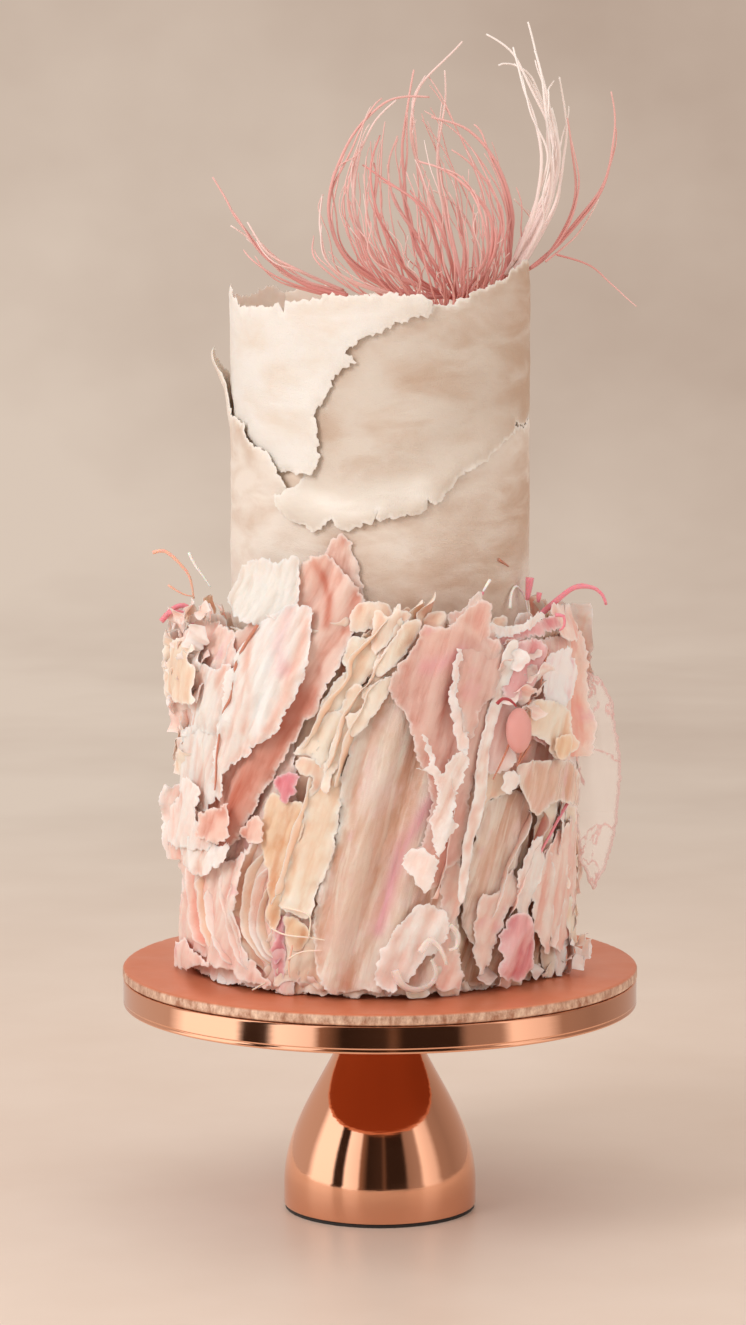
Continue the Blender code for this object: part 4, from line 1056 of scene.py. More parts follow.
# Marks on the drapes: most deep ones are painted shade beside folds, in creases and gaps and beneath
# lifted edges, most pale ones painted highlights, rose ones the sheets' own colour. Each sheet: its
# patch of the front view, its stand and fall, and its marks, each with its kind, reach, strength and
# line in that patch.
STRIP_SHADE = ("deep", 2.5, 0.8, [(650, 60), (690, 150), (722, 240), (712, 340)])
DRAPE_SHADE_LIGHT_AND_STAINS = {
    # Painted shade on the fold's side turned from the light and along the strip, painted highlights on the
    # lit side
    "drape": ("left", 17.5, 20.0, (
        ("deep", 9, 1.0, [(600, 640), (560, 700), (470, 860), (380, 1000), (310, 1180)]),
        STRIP_SHADE,
        ("pale", 6, 0.5, [(750, 420), (700, 560)]))),
    "strip": ("left", 17.5, 20.0, (STRIP_SHADE,)),
    # Painted shade in the creases and beneath the lifted lower edge, rose colour, and a painted highlight
    "panel": ("left", 22.0, 20.0, (
        ("deep", 3.0, 0.8, [(640, 330), (590, 480), (550, 640), (480, 760)]),
        ("deep", 2.2, 0.6, [(430, 350), (390, 480), (420, 620), (380, 760)]),
        ("rose", 4.0, 0.5, [(560, 300), (520, 420), (540, 520)]),
        ("deep", 4.0, 0.6, [(330, 900), (380, 860), (470, 800)]),
        ("pale", 5.0, 0.9, [(500, 380), (460, 520), (440, 700)]))),
    # Painted highlights along the left edge, a rose streak of its own colour, and a darker band low down
    "centre": ("left", 15.0, 0.0, (
        ("pale", 2.2, 0.9, [(880, 700), (830, 850), (770, 1050), (760, 1200)]),
        ("pale", 1.5, 0.8, [(860, 800), (800, 1000), (790, 1150)]),
        ("rose", 3.5, 0.8, [(1160, 990), (1070, 1130), (1010, 1230), (960, 1400), (910, 1560)]),
        ("deep", 9, 0.45, [(740, 1600), (820, 1450), (900, 1300), (980, 1100)]))),
    # Rose creases of its own colour, painted shade in the gap by the fins, painted highlights along folds
    "fan": ("right", 9.0, 0.0, (
        ("rose", 2.2, 0.9, [(750, 1050), (690, 1160), (640, 1260), (600, 1400)]),
        ("rose", 6, 0.5, [(400, 1400), (440, 1500), (430, 1600)]),
        ("deep", 4, 1.0, [(370, 1160), (330, 1320), (300, 1500)]),
        ("pale", 2.6, 0.8, [(620, 1120), (560, 1250), (500, 1450)]),
        ("pale", 2.6, 0.7, [(520, 1010), (480, 1150), (440, 1300)]),
        ("pale", 2.0, 0.7, [(560, 1300), (500, 1500), (470, 1650)]))),
    # A rose patch and a paler line
    "veil": ("right", 21.0, 12.0, (
        ("rose", 4, 0.6, [(190, 510), (280, 470), (310, 450)]),
        ("pale", 2, 0.7, [(300, 330), (370, 380), (450, 465)]))),
}


def shade_light_and_stains_of(name):
    patch, stand, fall, marks = DRAPE_SHADE_LIGHT_AND_STAINS[name]
    return [(kind, reach, amount, on_cake(patch, line, stand, fall)) for kind, reach, amount, line in marks]


# Wraps that close the gaps behind the drapes: name, finish, slot, first and last bearing and the
# bearings' step, foot, head, stand, soft folds, fall and grain
for name, material, slot, first, last, step, foot, head, stand, soft, fall, grain in (
    ("under", peach_wafer, "peach_wafer", -178, 178, 12, 1.0, 170.0, 4.0, 2.0, 0.0, 3.2),
    ("left", pink_wafer, "pink_wafer", -104, -26, 6, 1.5, 169.0, 12.0, 1.6, 8.0, 2.8),
    ("middle", peach_wafer, "peach_wafer", -30, 24, 6, 1.5, 169.0, 10.0, 1.6, 8.0, 2.8),
    ("right", pink_wafer, "pink_wafer", 20, 104, 6, 100.0, 169.0, 12.0, 1.6, 8.0, 2.8),
    ("low_right", fan_wafer, "pink_wafer", 20, 92, 6, 1.5, 169.0, 4.5, 1.6, 8.0, 2.8),
):
    turns = range(first, last + 1, step)
    corners = [(bearing, foot) for bearing in turns] + [(bearing, head) for bearing in turns[::-1]]
    draped_sheet(f"wafer_{name}_wrap", None, slot, corners, stand, material, crumple=0.8, soft=soft,
                 fall=fall, grain=grain)

drape_edge = [(-6.4, 194), (-8.2, 177), (-13.5, 155), (-24.7, 124), (-35, 98), (-48.5, 69)]
draped_sheet("wafer_pink_drape", "pink_drape", "pink_wafer",
             [*drape_edge, (-61.7, 77), (-61, 86), (-53, 99), (-50.5, 126), (-51, 157), (-45, 180),
              (-36, 196), (-20, 213)],
             17.5, salmon_wafer, fold=1.6, pitch=26.0, lean=0.3, fall=20.0, crumple=0.8,
             shade_light_and_stains=shade_light_and_stains_of("drape"))
draped_sheet("wafer_pink_strip", "pink_strip", "pink_wafer",
             [(-6.6, 199), (-7.7, 171), (-14, 171), (-20, 186), (-21, 205), (-18.7, 219), (-12, 221)],
             -6.0, salmon_wafer, crumple=0.3,
             shade_light_and_stains=[*shade_light_and_stains_of("strip"), ("pale", 9, 0.9, [(-9, 215), (-10, 195), (-10, 175)])])
centre = [(-4.7, 4.4), (9.4, 6), (18.5, 12.8), (21.3, 29.6), (22.2, 68.3), (28, 92.5), (28, 114),
          (25, 139), (21.1, 156.4), (12.9, 163), (1.4, 157), (-1.2, 149.6), (-9.9, 115.6),
          (-11.7, 84.7), (-17.2, 56.4), (-19.1, 29.8), (-15.4, 6.8)]
draped_sheet("wafer_centre_sheet", "centre_sheet", "glossy_wafer", centre, 14.2, glossy_wafer, fold=1.8,
             pitch=27.0, lean=0.16, phase=1.9, lifts=[(centre[-7:], 3.4, 13)], crumple=0.35, soft=1.3,
             shade_light_and_stains=shade_light_and_stains_of("centre"))
veil = [(11.3, 181), (18.7, 182), (24, 190), (30.7, 191.6), (30.6, 175.3), (33.9, 168.8),
        (30.2, 129), (25.6, 105), (23.7, 83), (21.2, 68), (13.2, 56), (9, 69), (13.2, 87.4),
        (13, 106), (9, 120), (6, 140), (2.4, 155), (8.6, 171)]
draped_sheet("wafer_pink_veil", "pink_veil", "pink_wafer", veil, 20.6, veil_wafer, fold=0.9, pitch=24.0,
             crumple=0.5, soft=0.9, shade_light_and_stains=shade_light_and_stains_of("veil"))
ribbon = [(38.6, 170), (34.2, 147), (29.8, 122), (29, 99), (25, 76), (22.5, 50), (20.5, 51),
          (22, 76), (25, 99), (26.2, 122), (30.6, 147), (34.8, 171)]
draped_sheet("wafer_cream_ribbon", "cream_ribbon", "cream_wafer", ribbon, 23.6, ribbon_wafer, tear=0.5,
             crumple=0.1, soft=0.3, grain=1.0)
fan = [(24.9, 103), (33.3, 106.9), (42.8, 101), (52.7, 108), (68, 106), (84, 101), (83, 83),
       (76, 58.4), (64.9, 11.8), (59, 4), (45.8, 3.8), (23.1, 5), (21.6, 22.8), (23, 67.7)]
draped_sheet("wafer_beige_fan", "beige_fan", "glossy_wafer", fan, 6.6, fan_wafer, fold=2.2, pitch=26.0,
             lean=0.22, crumple=0.5, soft=1.8, shade_light_and_stains=shade_light_and_stains_of("fan"))


# The petals and the bud: small cups of wafer paper pinched by hand, rose pink and cream, tucked in
# beside the top of the beige fan.
PETAL_CUP = 3.0
BUD_RINGS, BUD_SIDES = 26, 40
BUD_WIDE, BUD_DEEP, BUD_TALL = 6.0, 5.0, 11.0
white_petal = wafer_finish("white petal", (0.97, 0.93, 0.92), (0.95, 0.86, 0.85), (0.86, 0.52, 0.56),
                           roughness=0.4)
rose_petal = wafer_finish("rose petal", (0.93, 0.64, 0.63), (0.84, 0.36, 0.37), (0.62, 0.13, 0.16),
                          roughness=0.4)


def petal(name, slot, bearing, height, stand, half_width, half_height, material):
    """A small oval sheet pressed in at its middle."""
    centre = Vector((girth(bearing, DRAPE_RADIUS), height))
    turns = [math.radians(turn) for turn in range(0, 360, 36)]
    rim = [centre + Vector((half_width * math.cos(turn), half_height * math.sin(turn))) for turn in turns]
    corners = [(math.degrees(p.x / DRAPE_RADIUS), p.y) for p in rim]
    pressed = [([(bearing, height), (bearing, height + 0.1)], -PETAL_CUP, 7)]
    draped_sheet("wafer_" + name, name, slot, corners, stand, material, lifts=pressed, tear=1.6, crumple=0.5,
                 grain=1.0)


petal("white_petal", "white_wafer", 59.0, 151.0, 21.0, 17.0, 15.0, white_petal)
petal("pink_petal_1", "petal_pink", 42.0, 159.0, 18.5, 12.0, 13.0, rose_petal)
petal("pink_petal_2", "petal_pink", 51.0, 131.0, 20.0, 9.0, 12.0, rose_petal)
petal("cream_petal", "cream_wafer", 64.0, 122.0, 18.0, 11.0, 12.0, cream_wafer)

bud_verts = []
for i in range(BUD_RINGS + 1):
    polar = math.pi * i / BUD_RINGS
    for k in range(BUD_SIDES):
        turn = math.tau * k / BUD_SIDES
        wrap = 1.0 + 0.06 * ridged(turn / 1.3 + polar, polar * 0.8, 31.0)
        bud_verts.append((BUD_WIDE * wrap * math.sin(polar) * math.cos(turn) * MM,
                          BUD_DEEP * wrap * math.sin(polar) * math.sin(turn) * MM,
                          BUD_TALL * math.cos(polar) * MM))
mesh = bpy.data.meshes.new("rose_bud")
mesh.from_pydata(bud_verts, [], [(a, d, c, b) for a, b, c, d in ring_faces(BUD_RINGS, BUD_SIDES)])
mesh.shade_smooth()
bud = placed("rose_bud", mesh, bud_wafer)
bud.location = around(37.0, 110.5, CAKE_BASE + 130.0)
dress(bud, "petal_pink", "wafer_bud")


# The layers: smaller torn sheets over the drapes and fins at the front, from crumpled tissue at the
# upper left to frayed petals at the right. Each row: name, slot, finish, stand, fall, crumple, soft
# folds, and the patch and outline that it has in the front view.
LAYERS = (
    ("white_tissue", "white_wafer", tissue_wafer, 20, 19, 2.4, 0.2, "left", [(375, 110), (450, 80),
        (540, 90), (600, 80), (612, 180), (590, 260), (540, 300), (470, 330), (400, 335), (345, 300),
        (325, 240), (350, 180)]),
    ("pale_panel", "pink_wafer", panel_wafer, 22, 20, 2.0, 0.6, "left", [(430, 340), (520, 290),
        (600, 250), (655, 300), (640, 480), (600, 600), (520, 750), (500, 780), (420, 820), (400, 860),
        (300, 930), (312, 965), (275, 1035), (255, 1000), (260, 880), (290, 700), (350, 480), (395, 390)]),
    ("left_fill", "pink_wafer", pink_wafer, 15.5, 12, 1.8, 0.6, "left", [(85, 330), (150, 290), (240, 320),
        (350, 380), (345, 560), (290, 760), (190, 800), (115, 770), (85, 600)]),
    ("left_cream", "white_wafer", panel_wafer, 20, 12, 1.8, 0.5, "left", [(150, 440), (200, 420),
        (240, 520), (320, 500), (340, 600), (300, 700), (280, 765), (200, 765), (142, 785), (168, 740),
        (160, 640), (180, 560), (140, 480)]),
    ("left_pale", "white_wafer", panel_wafer, 19, 12, 1.4, 0.6, "left", [(170, 745), (230, 740),
        (292, 765), (275, 900), (263, 1035), (200, 1085), (140, 1000), (132, 900), (150, 860), (112, 830),
        (122, 790)]),
    ("left_white", "white_wafer", white_wafer, 23, 0, 1.2, 0.4, "left", [(150, 950), (200, 1000),
        (195, 1100), (245, 1195), (210, 1240), (130, 1235), (60, 1195), (82, 1140), (66, 1150), (90, 1080),
        (120, 1000)]),
    ("salmon_fold", "pink_wafer", salmon_wafer, 25, 0, 1.0, 0.4, "left", [(200, 1090), (255, 1075),
        (305, 1060), (316, 1190), (260, 1205), (185, 1175), (205, 1130)]),
    ("left_crumple", "white_wafer", panel_wafer, 22, 0, 2.2, 0.2, "left", [(140, 1215), (200, 1195),
        (260, 1215), (322, 1225), (300, 1290), (250, 1322), (180, 1340), (138, 1290)]),
    ("low_pink", "pink_wafer", pink_wafer, 17, 0, 0.8, 2.0, "left", [(138, 1230), (220, 1280), (300, 1290),
        (390, 1240), (430, 1190), (372, 1330), (345, 1430), (352, 1550), (410, 1680), (480, 1780),
        (380, 1757), (330, 1715), (285, 1715), (200, 1655), (130, 1612), (100, 1545), (118, 1440),
        (150, 1385), (130, 1300)]),
    ("foot_flare", "pink_wafer", pink_wafer, 20, 0, 1.2, 0.4, "left", [(135, 1600), (180, 1640),
        (240, 1695), (200, 1700), (140, 1715), (86, 1695), (105, 1640)]),
    ("amber_sheet", "peach_wafer", amber_wafer, 16.5, 0, 0.9, 1.2, "left", [(490, 1010), (560, 1040),
        (625, 1050), (610, 1180), (550, 1290), (530, 1440), (500, 1570), (470, 1480), (475, 1330),
        (440, 1200), (460, 1090)]),
    ("magenta_bit", "petal_pink", magenta_wafer, 17.5, 0, 1.4, 0.2, "left", [(500, 960), (560, 935),
        (592, 940), (590, 1005), (555, 1040), (520, 1030), (508, 990)]),
    ("salmon_corner", "pink_wafer", salmon_wafer, 19.5, 0, 0.9, 0.3, "left", [(440, 1095), (455, 1190),
        (400, 1205), (358, 1170)]),
    ("magenta_low", "petal_pink", magenta_wafer, 14, 0, 1.2, 0.2, "left", [(520, 1480), (545, 1540),
        (540, 1630), (510, 1690), (490, 1640), (512, 1560)]),
    ("peach_low", "peach_wafer", peach_wafer, 12.5, 0, 1.4, 0.8, "left", [(545, 1490), (640, 1510),
        (690, 1590), (702, 1790), (640, 1782), (560, 1765), (500, 1780), (530, 1640)]),
    ("cream_sheet", "cream_wafer", cream_wafer, 17.5, 0, 0.35, 1.1, "left", [(740, 870), (662, 940),
        (640, 1010), (622, 1080), (600, 1170), (560, 1260), (540, 1320), (528, 1400), (505, 1450),
        (540, 1475), (640, 1510), (670, 1400), (730, 1250), (770, 1000)]),
    ("fin_lead", "cream_wafer", cream_wafer, 17, 14, 0.5, 1.0, "left", [(1000, 270), (980, 268),
        (960, 300), (910, 345), (880, 385), (800, 398), (788, 430), (768, 490), (785, 520), (752, 560),
        (722, 600), (682, 650), (664, 665), (690, 702), (760, 690), (860, 560), (1010, 430)]),
    ("fin_low", "cream_wafer", cream_wafer, 17.5, 0, 0.5, 0.9, "left", [(705, 695), (650, 775), (590, 835),
        (582, 858), (640, 862), (700, 905), (780, 740), (770, 690)]),
    ("fin_tip", "peach_wafer", peach_wafer, 18.5, 0, 0.5, 0.5, "left", [(580, 882), (600, 935), (650, 950),
        (628, 1035), (665, 1010), (710, 900), (650, 865)]),
    ("fin_middle", "cream_wafer", cream_wafer, 19, 0, 0.5, 0.9, "left", [(840, 572), (790, 600),
        (765, 660), (745, 740), (722, 860), (700, 900), (690, 985), (712, 1015), (740, 930), (800, 800),
        (860, 660)]),
    ("fin_peach", "peach_wafer", peach_wafer, 18.5, 14, 0.5, 0.9, "left", [(1010, 325), (960, 380),
        (925, 430), (900, 520), (878, 582), (960, 565), (1010, 520)]),
    ("fin_near", "cream_wafer", cream_wafer, 20.5, 0, 0.5, 0.8, "left", [(955, 552), (880, 585),
        (848, 620), (856, 660), (822, 690), (790, 705), (792, 760), (822, 782), (900, 690), (965, 600)]),
    ("top_peach", "peach_wafer", peach_wafer, 14, 14, 0.6, 0.5, "left", [(808, 285), (860, 245),
        (940, 250), (965, 300), (900, 350), (810, 372)]),
    ("petal_left", "peach_wafer", peach_wafer, 19.5, 15, 0.6, 0.4, "right", [(-25, 290), (30, 300),
        (70, 275), (122, 295), (112, 330), (60, 372), (20, 432), (-30, 440)]),
    ("petal_right", "cream_wafer", cream_wafer, 20.5, 15, 0.5, 0.4, "right", [(70, 365), (120, 325),
        (165, 330), (125, 420), (62, 500), (0, 548), (-25, 510), (30, 432)]),
    ("veil_layer", "pink_wafer", veil_wafer, 23.5, 12, 0.5, 0.9, "right", [(300, 440), (330, 400),
        (400, 360), (470, 380), (490, 470), (460, 600), (400, 690), (372, 782), (350, 780), (318, 720),
        (288, 600), (300, 520)]),
    ("veil_tip", "pink_wafer", pink_wafer, 19.5, 15, 0.6, 0.4, "right", [(268, 300), (330, 268),
        (402, 205), (402, 270), (342, 332), (300, 392), (280, 340)]),
    ("swirl_white", "white_wafer", white_wafer, 24, 15, 1.2, 0.6, "right", [(350, 358), (420, 330),
        (500, 350), (560, 330), (620, 288), (652, 300), (600, 350), (520, 380), (440, 402), (390, 398)]),
    ("swirl_pink", "petal_pink", rose_petal, 22, 15, 1.0, 0.6, "right", [(390, 402), (470, 380),
        (560, 350), (680, 300), (722, 340), (640, 380), (560, 402), (470, 432)]),
    ("cream_petals", "cream_wafer", cream_wafer, 22, 0, 1.6, 0.3, "right", [(600, 650), (680, 640),
        (750, 680), (762, 760), (772, 820), (740, 870), (690, 862), (640, 800), (580, 762)]),
    ("amber_spot", "peach_wafer", amber_wafer, 25, 0, 0.8, 0.2, "right", [(700, 792), (752, 782),
        (756, 850), (720, 872), (700, 840)]),
    ("white_bit", "white_wafer", white_wafer, 22, 0, 1.5, 0.2, "right", [(480, 940), (520, 925),
        (552, 950), (532, 1000), (490, 1002)]),
    ("peach_patch", "peach_wafer", peach_wafer, 18, 0, 0.8, 0.4, "right", [(408, 925), (482, 920),
        (502, 1000), (432, 1050), (402, 1100), (410, 1000)]),
    ("pink_crumple", "pink_wafer", panel_wafer, 25, 0, 2.0, 0.3, "right", [(170, 780), (192, 790),
        (215, 880), (245, 935), (265, 895), (330, 840), (350, 900), (302, 1010), (290, 1090), (302, 1150),
        (262, 1200), (228, 1262), (205, 1200), (215, 1090), (236, 1000), (180, 925), (138, 915),
        (190, 898)]),
    ("white_curl", "white_wafer", white_wafer, 28, 0, 1.6, 0.2, "right", [(100, 1250), (150, 1230),
        (212, 1260), (224, 1300), (192, 1392), (150, 1386), (112, 1330), (90, 1290)]),
    ("fan_top", "glossy_wafer", glossy_wafer, 20, 0, 0.8, 0.9, "right", [(555, 900), (640, 880),
        (750, 880), (792, 960), (780, 1060), (700, 1045), (622, 1100), (560, 1000)]),
    ("right_pink", "pink_wafer", pink_wafer, 15.5, 0, 0.5, 1.6, "right", [(600, 1400), (640, 1290),
        (700, 1180), (790, 1080), (792, 1300), (765, 1460), (742, 1620), (700, 1642), (660, 1560),
        (622, 1500)]),
    ("right_tab", "cream_wafer", cream_wafer, 16, 0, 0.3, 0.4, "right", [(748, 1440), (790, 1430),
        (832, 1635), (782, 1642), (752, 1600)]),
    ("magenta_patch", "petal_pink", rose_petal, 18, 0, 2.2, 0.3, "right", [(500, 1560), (550, 1490),
        (602, 1520), (622, 1640), (592, 1740), (500, 1768), (478, 1700)]),
    ("flank_back", "pink_wafer", pink_wafer, 20, 14, 0.8, 0.4, "right", [(690, 262), (800, 280),
        (802, 370), (742, 402), (700, 332)]),
    ("cream_tab", "cream_wafer", cream_wafer, 24, 6, 0.3, 0.5, "left", [(95, 412), (140, 395), (182, 430),
        (155, 470), (182, 520), (172, 600), (182, 650), (112, 652), (74, 602), (66, 560), (72, 520),
        (66, 500), (82, 460)]),
    ("right_strip_1", "pink_wafer", pink_wafer, 16.5, 0, 0.4, 1.2, "right", [(600, 1420), (640, 1300),
        (682, 1230), (692, 1420), (680, 1642), (650, 1640), (620, 1560)]),
    ("right_strip_2", "white_wafer", white_wafer, 17, 0, 0.4, 1.2, "right", [(560, 1330), (600, 1230),
        (640, 1180), (650, 1290), (610, 1420), (570, 1560), (545, 1500)]),
    ("fan_cream", "glossy_wafer", glossy_wafer, 12, 0, 0.5, 1.4, "right", [(400, 1080), (470, 1020),
        (560, 1010), (600, 1080), (560, 1230), (500, 1400), (450, 1560), (380, 1640), (330, 1500),
        (350, 1300)]),
    ("fan_rose", "petal_pink", pink_wafer, 14, 0, 0.6, 1.2, "right", [(390, 1450), (440, 1420),
        (520, 1330), (560, 1390), (500, 1500), (450, 1640), (400, 1740), (370, 1640)]),
    ("low_white", "white_wafer", white_wafer, 18, 0, 0.8, 1.0, "right", [(60, 1560), (130, 1480),
        (210, 1460), (280, 1530), (250, 1620), (160, 1700), (60, 1800), (-10, 1790), (0, 1650)]),
    ("low_rose", "pink_wafer", pink_wafer, 16.5, 0, 0.8, 1.0, "right", [(240, 1330), (300, 1290),
        (330, 1420), (300, 1600), (330, 1780), (230, 1790), (210, 1640), (250, 1500)]),
    ("veil_edge", "white_wafer", white_wafer, 24.5, 8, 0.8, 0.4, "right", [(310, 440), (326, 470),
        (308, 540), (312, 640), (345, 740), (352, 800), (330, 860), (300, 800), (286, 700), (270, 620),
        (285, 530)]),
    ("rose_heart", "petal_pink", rose_petal, 23, 8, 2.2, 0.3, "right", [(500, 440), (560, 400), (640, 410),
        (650, 480), (620, 560), (560, 640), (490, 640), (480, 560)]),
    ("bud_wrap", "petal_pink", bud_wafer, 21, 0, 0.3, 0.8, "right", [(430, 650), (470, 630), (530, 640),
        (552, 710), (545, 800), (520, 900), (450, 932), (415, 920), (410, 800), (420, 700)]),
    ("amber_low", "peach_wafer", amber_wafer, 15, 0, 0.7, 1.0, "left", [(540, 1500), (600, 1520),
        (640, 1570), (600, 1640), (560, 1620), (545, 1560)]),
    ("rose_low", "petal_pink", rose_petal, 13.5, 0, 1.0, 0.6, "left", [(500, 1500), (530, 1480),
        (548, 1560), (545, 1700), (520, 1770), (490, 1700), (495, 1600)]),
)
# The finer sheets tear in shorter frays
FINE_TORN = ("cream_wafer", "glossy_wafer", "peach_wafer")
FINE_TEAR = 0.9
ROUGH_TEAR = 1.5
LAYER_GRAIN = 1.35
for name, slot, material, stand, fall, crumple, soft, patch, spots in LAYERS:
    draped_sheet("layer_" + name, None, slot, on_cake(patch, spots, stand, fall), stand, material, fall=fall,
                 crumple=crumple, soft=soft, phase=0.37 * len(name) + stand, grain=LAYER_GRAIN, lean=0.2,
                 tear=FINE_TEAR if slot in FINE_TORN else ROUGH_TEAR,
                 shade_light_and_stains=shade_light_and_stains_of("panel") if name == "pale_panel" else ())


# The ribs: narrow strips of wafer paper stood on edge in curves, with scalloped free edges. Each
# row: name, colour, inner and outer stand, fall, how far the free edge leans round, and the patch
# and course that it has in the front view.
RIB_STEP = 0.9
RIB_COLUMNS = 6
RIBS = (
    ("fin_rib_1", "cream", 15, 21.5, 14, -3.0, "left", [(1000, 290), (940, 350), (880, 420), (820, 480),
        (800, 560), (740, 640), (700, 700), (650, 790), (610, 860)]),
    ("fin_rib_2", "peach", 15, 22, 14, -2.5, "left", [(1010, 400), (950, 470), (900, 560), (840, 620),
        (800, 700), (770, 790), (740, 880), (710, 960)]),
    ("fin_rib_3", "cream", 16, 22.5, 14, -2.5, "left", [(980, 540), (900, 600), (866, 660), (830, 740),
        (800, 820), (770, 900), (745, 1000)]),
    ("fin_rib_4", "cream", 15, 20.5, 0, -2.5, "left", [(660, 930), (640, 1010), (618, 1090), (590, 1180),
        (556, 1270), (532, 1370), (510, 1450)]),
    ("arc_1", "peach", 9, 17.5, 0, -4.0, "left", [(445, 1175), (374, 1335), (350, 1430), (358, 1540),
        (402, 1650), (470, 1745)]),
    ("arc_2", "cream", 9, 18.5, 0, -3.5, "left", [(472, 1240), (408, 1350), (388, 1440), (388, 1530),
        (428, 1630), (492, 1725)]),
    ("arc_3", "white", 9, 18.0, 0, -3.5, "left", [(484, 1310), (434, 1400), (418, 1500), (442, 1610),
        (500, 1715)]),
    ("arc_4", "cream", 9, 16.5, 0, -3.0, "left", [(502, 1370), (458, 1450), (452, 1540), (478, 1640),
        (512, 1700)]),
    ("pleat_a", "white", 14, 20.5, 0, -3.0, "left", [(222, 1390), (238, 1490), (258, 1570), (292, 1660),
        (322, 1712)]),
    ("pleat_b", "pink", 13, 19.5, 0, -3.0, "left", [(300, 1310), (302, 1450), (332, 1580), (382, 1700),
        (422, 1750)]),
    ("pleat_c", "pink", 15, 21.5, 0, -2.5, "left", [(150, 1290), (158, 1420), (172, 1540), (206, 1640)]),
    ("pleat_d", "cream", 14, 21, 0, -2.5, "left", [(186, 1340), (200, 1450), (220, 1560), (246, 1650)]),
    ("pleat_e", "pink", 11, 18.5, 0, -3.0, "left", [(352, 1330), (338, 1440), (348, 1560), (398, 1690),
        (452, 1770)]),
    ("veil_rib", "pink", 20, 25.5, 0, -2.0, "right", [(300, 880), (310, 1000), (300, 1120), (290, 1230),
        (262, 1340), (240, 1440)]),
    ("fan_rib_1", "white", 12, 17.5, 0, -2.5, "right", [(640, 1080), (590, 1180), (540, 1290), (500, 1400),
        (470, 1530)]),
    ("fan_rib_2", "pink", 12, 18.0, 0, -2.5, "right", [(700, 1090), (660, 1190), (610, 1300), (570, 1420),
        (550, 1520)]),
)


def wander(x, y, layer):
    """A small step to the side in three directions, from three layers of noise."""
    return Vector([field(x, y, layer + i) for i in range(3)])


def drawn_line(spots, wobble, seed, spacing=2.0):
    """A smooth line through the spots, unsteady as by hand, and more so towards its end."""
    line = []
    for i in range(len(spots) - 1):
        before, after = spots[max(0, i - 1)], spots[min(len(spots) - 1, i + 2)]
        pieces = max(2, round((spots[i + 1] - spots[i]).length / spacing))
        line += [catmull_rom(before, spots[i], spots[i + 1], after, k / pieces) for k in range(pieces)]
    line.append(spots[-1].copy())
    for k, spot in enumerate(line):
        spot += wobble * k / len(line) * wander(0.13 * k, seed, 51.0)
    return line


def rib(name, colour, inner, outer, fall, sideways, course, seed):
    """One strip on edge along its course, with its scallops and small waves."""
    line = drawn_line([spot.to_3d() for spot in flat(course, DRAPE_RADIUS)], 0.8, seed, RIB_STEP)
    verts, depth, crest, laid = [], [], [], []
    for i, spot in enumerate(line):
        share = i / (len(line) - 1)
        run = RIB_STEP * i
        taper = min(1.0, 7 * share, 7 * (1 - share)) ** 0.6
        scallop = (0.8 * abs(math.sin(run / 3.4 + 2 * field(run / 20, seed, 91.0)))
                   + 0.35 * ridged(run / 1.8, seed, 92.0))
        for k in range(RIB_COLUMNS + 1):
            v = k / RIB_COLUMNS
            out = inner + (outer - inner + scallop) * v * taper
            ruffle_by = v * v * (1.0 * math.sin(run / 5.0 + seed) + 0.6 * field(run / 12, seed, 93.0))
            x = spot.x + sideways * v + ruffle_by
            y = max(0.6, spot.y + 0.5 * v * field(run / 6, seed, 94.0))
            radius = LOWER_RADIUS + out - fallen(y, fall)
            verts.append(around(math.degrees(x / DRAPE_RADIUS), radius, CAKE_BASE + y))
            depth.append((1 - v) * (outer - inner))
            # Painted shade towards the inner edge, painted light towards the scalloped outer edge
            crest.append(0.2 + 0.5 * v + 0.15 * field(run / 6, seed, 93.0))
            laid.append((v * (outer - inner) + 31.0 * seed, run))
    material, slot = WAFERS[WAFER_COLOURS.index(colour)]
    dress(shell("rib_" + name, verts, grid_faces(len(line) - 1, RIB_COLUMNS), depth, crest, laid,
                WAFER_THICKNESS, material, THIN_RIM), slot)


for i, (name, colour, inner, outer, fall, sideways, patch, spots) in enumerate(RIBS):
    rib(name, colour, inner, outer, fall, sideways, on_cake(patch, spots, outer, fall), 1.7 * i)


